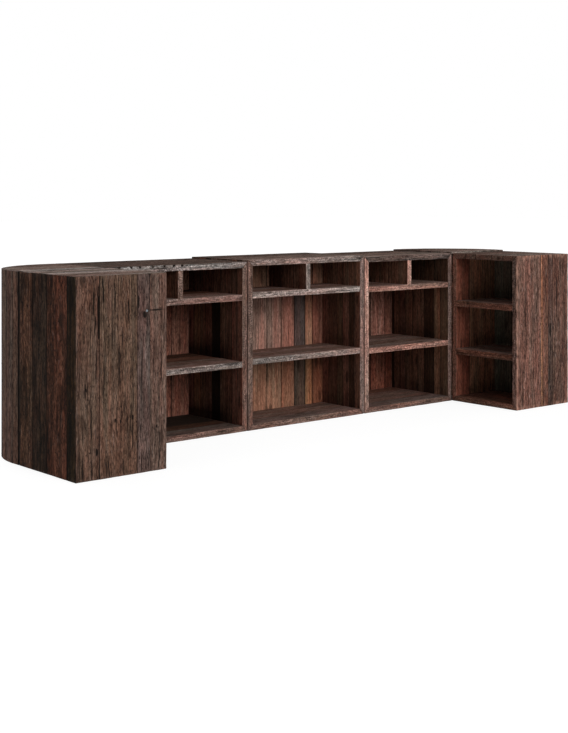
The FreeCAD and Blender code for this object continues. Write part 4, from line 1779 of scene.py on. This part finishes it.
@dataclass(kw_only=True)
class CornerUnit(Unit):
    """A closed corner unit with a rounded outer corner of upright staves.

    Attributes:
        hand: -1 for the left corner, 1 for the right one.
        plate: Planks of the top and bottom plates, from front to back.
        skin: Colours of the two flat boards, then of the staves from the flank round to the back.
        staves: Number of staves in the rounded corner.
    """

    hand: int
    plate: Layout
    skin: Layout
    staves: int = 9

    def build(self) -> None:
        """Builds the plates and the skin of boards and staves."""
        self.outer = corners(self.node("staves"))
        self.inner = corners(self.node("top"))
        far = LOW if self.hand < 0 else HIGH
        thick = abs(self.outer[far, X] - self.inner[far, X])
        centre, radius = self.arc(far)
        self.plates(centre, radius - thick)
        mesh = PlankMesh(self.node("staves_planks"))
        self.flats(mesh, far, centre)
        self.bend(mesh, centre, radius, thick)
        mesh.build(OUTER, self.node("staves"))

    def arc(self, far: int) -> tuple[tuple[float, float], float]:
        """Measures the rounded corner on the CAD staves.

        Args:
            far: The unit's outer side on X.

        Returns:
            Middle of the arc, in plan, and its outer radius.
        """
        points = np.concatenate(loose_parts(self.node("staves")))
        on_flank = points[np.abs(points[:, X] - self.outer[far, X]) < FLAT]
        on_back = points[np.abs(points[:, Y] - self.outer[HIGH, Y]) < FLAT]
        reach = np.abs(on_back[:, X]).max()
        radius = max(abs(self.outer[far, X]) - reach, self.outer[HIGH, Y] - on_flank[:, Y].max())
        return (self.outer[far, X] - self.hand * radius, self.outer[HIGH, Y] - radius), radius

    def plates(self, centre: tuple[float, float], radius: float) -> None:
        """Builds the top and bottom plates, whose boards end on the arc.

        Args:
            centre: Middle of the arc, in plan.
            radius: Radius of the plates.
        """
        layout = replace(self.plate, joint=GLUE_LINE, detail=Detail.PLAIN, rest=Detail.PLAIN)
        last = len(layout.shares) - 1
        for part, side, finish in (("top", HIGH, TOPS), ("bottom", LOW, CARCASS)):
            box = corners(self.node(part))
            mesh = PlankMesh(self.node(part) + "_planks")
            for number, (low, high) in enumerate(layout.ranges(*box[:, Y])):
                span = (*box[:, X], low + GLUE_LINE, high - GLUE_LINE)
                plank = ArcPlank(
                    layout, number, normal=Z, grain=X, outer=span, inner=span,
                    depth=(box[side, Z], box[1 - side, Z]), joints=(number > 0, number < last),
                    seed=self.next_seed(), centre=centre, radius=radius, hand=self.hand,
                )
                mesh.add(plank)
            mesh.build(finish, self.node(part))

    def flats(self, mesh: PlankMesh, far: int, centre: tuple[float, float]) -> None:
        """Adds the flat boards on the flank and at the back, on both sides of the arc.

        Args:
            mesh: The skin so far.
            far: The unit's outer side on X.
            centre: Middle of the arc, in plan.
        """
        flank = (self.outer[LOW, Y], centre[1] - GLUE_LINE)
        back = sorted((centre[0] - self.hand * GLUE_LINE, self.outer[1 - far, X]))
        for number, (axis, side, flat) in enumerate(((X, far, flank), (Y, HIGH, back))):
            span = (*self.outer[:, Z], *flat)
            plank = Plank(
                self.skin, number, normal=axis, grain=Z, outer=span, inner=span,
                depth=(self.outer[side, axis], self.inner[side, axis]),
                box=self.outer, seams=self.seams, grime=self.grime, seed=self.next_seed(),
            )
            mesh.add(plank)

    def bend(self, mesh: PlankMesh, centre: tuple[float, float], radius: float, thick: float) -> None:
        """Adds the staves of the rounded corner.

        Args:
            mesh: The skin so far.
            centre: Middle of the arc, in plan.
            radius: Its outer radius.
            thick: Thickness of the staves.
        """
        arc = radius * math.pi / 2 / self.staves
        span = (*self.outer[:, Z], 0.0, arc - 2 * STAVE_JOINT)
        for number in range(self.staves):
            first = (number * arc + STAVE_JOINT) / radius
            plank = Stave(
                self.skin, FLATS + number, normal=X, grain=Z, outer=span, inner=span, depth=(0.0, thick),
                joints=(True, True), seed=self.next_seed(), centre=centre, radius=radius,
                start=math.pi - first if self.hand < 0 else first, turn=self.hand,
            )
            mesh.add(plank)


@dataclass
class CladdingNails:
    """The nails that hold the cladding, with heads worn flush.

    Attributes:
        node: The CAD node of all nails.
        head: Radius of a head.
        shank: Radius of a nail under its head.
        rise: How far a head's middle stands out of the plank.
        sides: Number of sides of a nail.
        seed: Pattern of their odd shapes.
        polished: Place of the one bare nail in the left arm's panel: share of its width, and height.
        bare: Radius of that nail's head.
        stub: Length of that nail.
    """

    node: str = "cladding_nails"
    head: float = 0.0042
    shank: float = 0.0019
    rise: float = 0.0005
    sides: int = 10
    seed: int = 5
    polished: tuple[float, float] = (0.773, 0.892)
    bare: float = 0.0065
    stub: float = 0.03

    def build(self) -> None:
        """Builds every nail on its CAD nail's own line, and the bare one in the panel."""
        chance = random.Random(self.seed)
        nails = []
        for part in loose_parts(self.node):
            middle = part.mean(axis=0)
            line = np.linalg.svd(part - middle, full_matrices=False)[2][0]
            outwards = line if line[:2] @ middle[:2] > 0 else -line
            reach = (part - middle) @ outwards
            tip = middle + outwards * reach.max()
            nails.append(self.nail(tip, outwards, np.ptp(reach), self.head, chance))
        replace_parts(self.piece("cladding_nail_heads", nails, IRON), self.node)

        low, high = corners("left_end_panel")
        share, height = self.polished
        tip = np.array((low[X] + (high[X] - low[X]) * share, low[Y], height))
        bare = self.nail(tip, np.array((0.0, -1.0, 0.0)), self.stub, self.bare, chance)
        self.piece("panel_nail_head", [bare], BARE_IRON)

    def nail(
        self, tip: np.ndarray, outwards: np.ndarray, length: float, radius: float, chance: random.Random
    ) -> np.ndarray:
        """Shapes one nail with a hammered head.

        Args:
            tip: Middle of the CAD nail's outer end.
            outwards: Its line, pointing out of the plank.
            length: Its length.
            radius: Radius of its head.
            chance: Source of its odd shape.

        Returns:
            Its points, ring by ring from the point to the head.
        """
        side = np.cross(outwards, (0.0, 0.0, 1.0))
        up = np.cross(side, outwards)
        head = radius * chance.uniform(0.85, 1.15)
        profile = (
            (-length, 0.0005),
            (-length * 0.9, self.shank),
            (-0.004, self.shank),
            (-0.0022, head * 0.9),
            (-0.0004, head),
            (self.rise * 0.6, head * 0.75),
            (self.rise, head * 0.3),
        )
        turn = chance.uniform(0, math.pi)
        dents = [chance.uniform(0.9, 1.08) for _ in range(self.sides)]
        points = []
        for depth, reach in profile:
            for i, dent in enumerate(dents):
                angle = turn + 2 * math.pi * i / self.sides
                spoke = (side * math.cos(angle) + up * math.sin(angle)) * reach * dent
                points.append(tip + outwards * depth + spoke)
        return np.array(points)

    def piece(self, name: str, nails: list[np.ndarray], finish: NailIron) -> bpy.types.Object:
        """Makes a piece out of nails.

        Args:
            name: The piece's name.
            nails: Points of each nail.
            finish: The finish they take.

        Returns:
            The piece.
        """
        faces = []
        for number, nail in enumerate(nails):
            rings = (number * len(nail) + np.arange(len(nail))).reshape(-1, self.sides).tolist()
            for low, high in zip(rings, rings[1:]):
                sides = zip(low, low[1:] + low[:1], high[1:] + high[:1], high)
                faces.extend(sides)
            faces.append(tuple(rings[-1]))
            faces.append(tuple(reversed(rings[0])))
        return make_piece(name, np.concatenate(nails).tolist(), faces, finish)


class HiddenJoinery:
    """Splines, dowels, rails, ribs and inner walls, whose CAD shapes stay."""

    WALLS = ("_end_wall", "_bay_wall")
    ENDS = ("mitre_splines", "locating_dowels", "_spacer_rails", "_rib", *WALLS)

    def build(self) -> None:
        """Gives each hidden node the joinery timber."""
        for name, node in sorted(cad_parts.items()):
            if name.endswith(self.ENDS):
                node.data.materials.clear()
                finish = CORNER_WALLS if name.endswith(self.WALLS) else JOINERY
                node.data.materials.append(finish.material())
                LOG.info("%s: %s", name, finish.name)


@dataclass(frozen=True)
class Lamp:
    """A broad lamp far away.

    Attributes:
        name: The lamp's name.
        strength: Its light on a surface that faces it.
        towards: Direction that its light travels in.
        soft: How broad it looks, in degrees.
    """

    name: str
    strength: float
    towards: tuple[float, float, float]
    soft: float

    def build(self) -> None:
        """Hangs the lamp."""
        data = bpy.data.lights.new(self.name, "SUN")
        data.energy = self.strength
        data.angle = math.radians(self.soft)
        lamp = add_object(self.name, data)
        right, back, up = self.towards
        tilt = math.atan2(math.hypot(right, back), -up)
        lamp.rotation_euler = (tilt, 0.0, math.atan2(back, right) - math.pi / 2)


@dataclass
class Studio:
    """Floor, soft light, white background and the photograph's camera.

    Attributes:
        place: Where the camera stands.
        turn: How far it looks to the right of straight ahead, in radians.
        focal: Focal length in pixels.
        horizon: Height of the horizon in the picture, in pixels from the top.
        picture: Width and height of the picture.
        sensor: Width of the sensor, in millimetres.
        sight: How far the camera sees, in metres.
        ambient: Strength of the soft light from all round.
        lamps: The lamps.
    """

    place: tuple[float, float, float] = (-5.721, -6.598, 1.529)
    turn: float = 0.703
    focal: float = 1301.935
    horizon: float = 195.535
    picture: tuple[int, int] = (568, 733)
    sensor: float = 36.0
    sight: float = 200.0
    ambient: float = 0.42
    lamps: tuple[Lamp, ...] = (
        Lamp("key", 2.1, (0.02, 0.91, -0.37), 34.0),
        Lamp("back_fill", 0.9, (-0.35, -0.8, -0.5), 60.0),
    )

    def build(self) -> None:
        """Sets the scene round the counter."""
        bpy.context.scene.view_settings.view_transform = "Standard"
        self.camera()
        self.floor()
        self.world()
        for lamp in self.lamps:
            lamp.build()

    def camera(self) -> None:
        """Puts the camera where the photograph was taken from."""
        data = bpy.data.cameras.new("photo_camera")
        data.sensor_fit = "HORIZONTAL"
        data.sensor_width = self.sensor
        width, height = self.picture
        data.lens = self.sensor * self.focal / width
        data.shift_y = -(height / 2 - self.horizon) / width
        data.clip_end = self.sight
        camera = add_object("photo_camera", data)
        camera.location = self.place
        camera.rotation_euler = (math.pi / 2, 0.0, -self.turn)
        bpy.context.scene.camera = camera

    @staticmethod
    def seen(bench: Bench) -> bpy.types.NodeSocket:
        """Tells rays that show the background from those that light the object.

        Args:
            bench: The material's bench.

        Returns:
            1 for camera, glossy and transmission rays, 0 for others.
        """
        path = bench.node("ShaderNodeLightPath").outputs
        shown = bench.math("MAXIMUM", path["Is Camera Ray"], path["Is Glossy Ray"])
        return bench.math("MAXIMUM", shown, path["Is Transmission Ray"])

    def floor(self) -> None:
        """Lays a plain pale floor that keeps a faint shadow."""
        mesh = bpy.data.meshes.new("studio_floor")
        square = [(FLOOR_HALF * x, FLOOR_HALF * y, 0.0) for x, y in ((-1, -1), (1, -1), (1, 1), (-1, 1))]
        mesh.from_pydata(square, [], [(0, 1, 2, 3)])
        material = bpy.data.materials.new("pale_floor")
        material.use_nodes = True
        nodes = material.node_tree.nodes
        nodes.remove(nodes["Principled BSDF"])
        bench = Bench(material.node_tree)
        matte = bench.node("ShaderNodeBsdfDiffuse", {"Color": FLOOR_GREY})
        glow = bench.node("ShaderNodeEmission", {"Strength": FLOOR_WHITE})
        both = bench.blend(bench.times(self.seen(bench), FLOOR_GLOW), matte, glow)
        bench.feed(nodes["Material Output"].inputs["Surface"], both)
        mesh.materials.append(material)
        add_object("studio_floor", mesh)

    def world(self) -> None:
        """Makes soft light all round and a white background."""
        world = bpy.data.worlds.new("studio_world")
        world.use_nodes = True
        nodes = world.node_tree.nodes
        bench = Bench(world.node_tree)
        soft = nodes["Background"]
        soft.inputs["Strength"].default_value = self.ambient
        soft.inputs["Color"].default_value = WHITE
        white = bench.node("ShaderNodeBackground", {"Color": WHITE})
        both = bench.blend(self.seen(bench), soft, white)
        bench.feed(nodes["World Output"].inputs["Surface"], both)
        bpy.context.scene.world = world


# Planks of the bays' sides, from front to back
SIDE_SHARES = (60, 53, 66, 59, 88, 70, 57, 80, 87)
RIGHT_SIDE_SHARES = (80, 62, 103, 66, 54, 80, 58, 62, 55)
FRAME_FRONT = (Tone.BOARD, Tone.DARK, Tone.RUST, Tone.OLIVE, Tone.UMBER)
DARK_INSIDE = (
    Tone.SHADE, Tone.PEAT, Tone.RUST, Tone.MOSS, Tone.SHADE, Tone.RUST, Tone.PEAT, Tone.SHADE, Tone.MOSS,
)
SOOTY_INSIDE = (
    Tone.RUST, Tone.RUST, Tone.SHADE, Tone.LOFT, Tone.SOOT, Tone.RUST, Tone.LOFT, Tone.LOAM, Tone.PINK,
)
BLACK_INSIDE = (
    Tone.MOSS, Tone.LOAM, Tone.PEAT, Tone.LOFT, Tone.LOFT, Tone.LOFT, Tone.RUST, Tone.LOFT, Tone.PEAT,
)
SIDE = Layout(SIDE_SHARES, FRAME_FRONT, DARK_INSIDE)

# Shelves and tops, from front to back
BOARD_TONES = (Tone.BOARD, Tone.PLANKED, Tone.BOARD, Tone.PLANKED, Tone.UMBER)
TOP_TONES = (Tone.TOP, Tone.TOP_MID, Tone.TOP_MID, Tone.TOP_DARK, Tone.TOP_DARK)
SHELF = Layout((5, 4, 6, 5), BOARD_TONES, (Tone.SHADE, Tone.RUST))
TOP = Layout((5, 4, 6, 4, 5), TOP_TONES, (Tone.SHADE,), joint=WIDE_JOINT)
DARK_TOP = replace(TOP, tones=(Tone.TOP_DARK,))
# Paler planks on the left arm's and the left corner's tops stand partly for their glancing sheen: partly
# painted sheen
PALE_TOP = replace(TOP, tones=(Tone.TOP, Tone.TOP, Tone.TOP_PALE, Tone.TOP, Tone.TOP_PALE))
GREY_TOP = replace(TOP, tones=(Tone.TOP_PALE, Tone.TOP, Tone.TOP, Tone.TOP_MID, Tone.TOP_MID))

# Boards that both arms or both corner units share
ARM_SHELF = replace(SHELF, edge=Tone.EDGE_RUST)
ARM_SIDE = Layout((5, 6, 4, 5), (Tone.RUST, Tone.SHADE, Tone.PINK), edge=Tone.EDGE_WARM)
ARM_LINING = Layout((5, 6, 4, 7), (Tone.RUST, Tone.SHADE))
CORNER_SKIN = Layout(
    (1,),
    (Tone.STAVE, Tone.BROWN, Tone.TAN, Tone.STAVE, Tone.ASH, Tone.STAVE, Tone.UMBER, Tone.RED),
    (Tone.SHADE,),
    joint=STAVE_JOINT,
    detail=Detail.PLAIN,
    rest=Detail.PLAIN,
)

# Notches in the left bay's top edge, and nail holes down the right bay's left side
NOTCH_PLACES = (0.072, 0.161, 0.228, 0.32, 0.413, 0.484, 0.549)
NOTCHES = tuple(Mark(place, 0.0, 0.008, 0.016, 0.009, 0.0, 0.5) for place in NOTCH_PLACES)
NAIL_ROW = tuple(Mark(0.42 + 0.036 * count, 0.0, 0.007, 0.008, 0.003, 0.0, 0.45, 0.36) for count in range(13))

# Splits, dents and stained hollows of the arms' panels, by plank
LEFT_PANEL_MARKS = {
    0: (
        Mark(0.9, 0.142, 0.16, 0.01, 0.006),
        Mark(0.95, 0.112, 0.07, 0.007, 0.004),
        Mark(0.84, 0.122, 0.05, 0.007, 0.004),
        Mark(0.62, 0.128, 0.09, 0.006, 0.004),
        Mark(0.48, 0.06, 0.05, 0.007, 0.004),
        Mark(0.484, 0.064, 0.01, 0.009, 0.003),
        Mark(0.3, 0.095, 0.1, 0.0055, 0.004),
        Mark(0.148, 0.132, 0.022, 0.015, 0.004),
        Mark(0.06, 0.04, 0.07, 0.006, 0.003),
        Mark(0.05, 0.1, 0.06, 0.006, 0.003),
    ),
    1: (
        Mark(1.02, 0.022, 0.07, 0.008, 0.005),
        Mark(0.62, 0.13, 0.12, 0.0055, 0.003),
        Mark(0.305, 0.103, 0.012, 0.01, 0.004),
        Mark(0.3, 0.135, 0.01, 0.009, 0.004),
        Mark(0.305, 0.178, 0.01, 0.009, 0.004),
        Mark(0.312, 0.215, 0.018, 0.013, 0.004),
        Mark(0.2, 0.21, 0.1, 0.0055, 0.004),
        Mark(0.98, 0.1, 0.09, 0.006, 0.003),
        Mark(0.9, 0.185, 0.07, 0.007, 0.004),
        Mark(0.76, 0.15, 0.05, 0.0065, 0.004),
        Mark(0.5, 0.03, 0.1, 0.0055, 0.004),
        Mark(0.06, 0.06, 0.07, 0.006, 0.003),
        Mark(0.05, 0.15, 0.05, 0.006, 0.003),
    ),
    2: (
        Mark(0.945, 0.008, 0.042, 0.01, 0.005),
        Mark(0.872, 0.048, 0.022, 0.018, 0.002),
        Mark(0.55, 0.03, 0.12, 0.005, 0.003),
        Mark(0.06, 0.03, 0.06, 0.006, 0.003),
    ),
    3: (
        Mark(0.246, 0.045, 0.01, 0.009, 0.004, 0.0),
        Mark(0.8955, 0.04, 0.006, 0.085, 0.003, 0.0),
        Mark(0.6, 0.08, 0.14, 0.005, 0.003),
        Mark(0.06, 0.06, 0.06, 0.0055, 0.003),
    ),
}
RIGHT_PANEL_MARKS = {
    0: (
        Mark(1.03, 0.15, 0.01, 0.012, 0.003),
        Mark(0.99, 0.17, 0.01, 0.012, 0.003),
        Mark(0.96, 0.14, 0.008, 0.01, 0.003),
        Mark(0.6, 0.1, 0.16, 0.008, 0.003),
        Mark(0.3, 0.19, 0.12, 0.008, 0.003),
    ),
    3: (Mark(0.55, 0.026, 0.05, 0.018, 0.003), Mark(0.2, 0.02, 0.12, 0.008, 0.003)),
    4: (Mark(0.75, 0.05, 0.2, 0.008, 0.003), Mark(0.4, 0.11, 0.14, 0.008, 0.003)),
}

# Sides of the units that stand against others
ARM_SEAMS = ((Y, HIGH),)
BAY_SEAMS = ((X, LOW), (X, HIGH))
LEFT_CORNER_SEAMS = ((Y, LOW), (X, HIGH))
RIGHT_CORNER_SEAMS = ((Y, LOW), (X, LOW))


def make_arms() -> tuple[EndUnit, EndUnit]:
    """Lists the planks of the two arms.

    Returns:
        The left and the right arm.
    """
    left = EndUnit(
        "left_end", 100, ARM_SEAMS, hand=LOW, grime=1.0,
        panel_finish=OUTER,
        panel=Layout(
            (148, 244, 83, 113), (Tone.BROWN, Tone.UMBER, Tone.ASH, Tone.TAN), (Tone.SHADE, Tone.RUST),
            LEFT_PANEL_MARKS, detail=Detail.FINE, rest=Detail.FINE,
        ),
        skin=Layout(
            (1,), (Tone.BLACK, Tone.RED, Tone.DARK, Tone.OLIVE), (Tone.SHADE,),
            detail=Detail.PLAIN, rest=Detail.PLAIN,
        ),
        lining=ARM_LINING,
        top=PALE_TOP,
        shelf=ARM_SHELF,
        side=ARM_SIDE,
    )
    right = EndUnit(
        "right_end", 6100, ARM_SEAMS, hand=HIGH,
        panel_finish=RIGHT_PANEL,
        panel=Layout(
            (272, 19, 64, 50, 183),
            (Tone.SPECKLED, Tone.RAW, Tone.RUSSET, Tone.LEAD, Tone.MOTTLED),
            (Tone.SHADE, Tone.RUST), RIGHT_PANEL_MARKS, detail=Detail.PLAIN, rest=Detail.PLAIN,
        ),
        skin=Layout((1,), (Tone.BROWN, Tone.OLIVE, Tone.RED, Tone.UMBER), (Tone.SHADE,)),
        lining=replace(ARM_LINING, tones=(Tone.SHADE,), linings=(Tone.MOSS, Tone.FERN)),
        top=replace(TOP, ends=Tone.EDGE_BROWN, joint=GLUE_LINE),
        shelf=ARM_SHELF,
        side=replace(ARM_SIDE, linings=(Tone.CLAY, Tone.SAND, Tone.SAND)),
    )
    return left, right


def make_bays() -> tuple[Bay, Bay, Bay]:
    """Lists the planks of the three bays.

    Returns:
        The bays, from left to right.
    """
    left = Bay(
        "left_bay", 2100, BAY_SEAMS,
        left=SIDE,
        right=replace(SIDE, linings=SOOTY_INSIDE),
        back=Layout(
            (1,),
            (Tone.DARK, Tone.BROWN, Tone.RED, Tone.OLIVE, Tone.UMBER, Tone.ASH, Tone.BROWN),
            (Tone.RUST, Tone.SHADE, Tone.RUST),
        ),
        top=replace(DARK_TOP, marks={0: NOTCHES}),
        # Painted shade: the shelves' tops and the bottom darken towards the back, the bottom to black
        shelf=replace(SHELF, tones=(Tone.BOARD, Tone.PLANKED, Tone.SHADE, Tone.PEAT)),
        floor=(Tone.TOP_DARK, Tone.PEAT, Tone.SOOT, Tone.SOOT),
        edges={"top": Tone.EDGE_SILVER, "mid_shelf": Tone.EDGE_LIGHT, "upper_shelf": Tone.EDGE_PINK},
        # Painted shade over the upper shelf
        attic=Tone.SHADE,
        dirt=1.0,
    )
    centre = Bay(
        "centre_bay", 3100, BAY_SEAMS,
        left=SIDE,
        right=SIDE,
        back=Layout(
            (1,),
            (Tone.UMBER, Tone.DARK, Tone.OLIVE, Tone.RED, Tone.BROWN, Tone.ASH),
            (Tone.SHADE,),
        ),
        top=TOP,
        shelf=SHELF,
        edges={
            "right_side": Tone.EDGE_PINK,
            "top": Tone.EDGE_LIGHT,
            "mid_shelf": Tone.EDGE_LIGHT,
            "upper_shelf": Tone.EDGE_GREY,
            "divider": Tone.EDGE_LIGHT,
        },
        lining=Layout(
            (15, 15, 14, 13, 12, 10, 7, 10),
            (Tone.SHADE,),
            (Tone.ROSE, Tone.PINK, Tone.ROSE, Tone.ROSE, Tone.PINK, Tone.SLATE, Tone.ORANGE, Tone.RUST),
            joint=OPEN_JOINT,
        ),
        # Painted shade: the back is a little darker under the mid shelf
        low=(0.91, 0.88, 0.72),
        dirt=0.5,
    )
    right = Bay(
        "right_bay", 4100, BAY_SEAMS,
        left=replace(SIDE, marks={0: NAIL_ROW}),
        right=replace(SIDE, shares=RIGHT_SIDE_SHARES, linings=BLACK_INSIDE),
        back=Layout(
            (1,), (Tone.BROWN, Tone.RED, Tone.ASH, Tone.DARK, Tone.OLIVE), (Tone.PINK, Tone.RUST)
        ),
        top=TOP,
        shelf=SHELF,
        edges={
            "left_side": Tone.EDGE_BRIGHT,
            "right_side": Tone.EDGE_PINK,
            "top": Tone.EDGE_DUST,
            "mid_shelf": Tone.EDGE_ROSE,
            "upper_shelf": Tone.EDGE_ROSE,
            "divider": Tone.EDGE_BRIGHT,
        },
        # Painted shade: the back is much darker under the mid shelf
        low=(0.52, 0.38, 0.32),
        # Painted shade over the upper shelf, darker here
        attic=Tone.OLIVE,
        middle=Tone.LOFT,
        dirt=0.65,
    )
    return left, centre, right


def make_units() -> list[Unit]:
    """Lists the seven units with the planks that each is made of.

    Returns:
        The units, from left to right.
    """
    left_end, right_end = make_arms()
    left_corner = CornerUnit(
        "left_corner", 1100, LEFT_CORNER_SEAMS, hand=-1, grime=1.0, plate=GREY_TOP, skin=CORNER_SKIN
    )
    right_corner = CornerUnit(
        "right_corner", 5100, RIGHT_CORNER_SEAMS, hand=1, plate=TOP, skin=CORNER_SKIN
    )
    return [left_end, left_corner, *make_bays(), right_corner, right_end]


def main() -> None:
    """Builds the counter's looks, unit by unit, and the studio round it."""
    logging.basicConfig(level=logging.INFO, format="%(name)s: %(message)s")
    Studio().build()
    for unit in make_units():
        unit.build()
        LOG.info("%s done", unit.name)
    CladdingNails().build()
    HiddenJoinery().build()


if __name__ == "__main__":
    main()
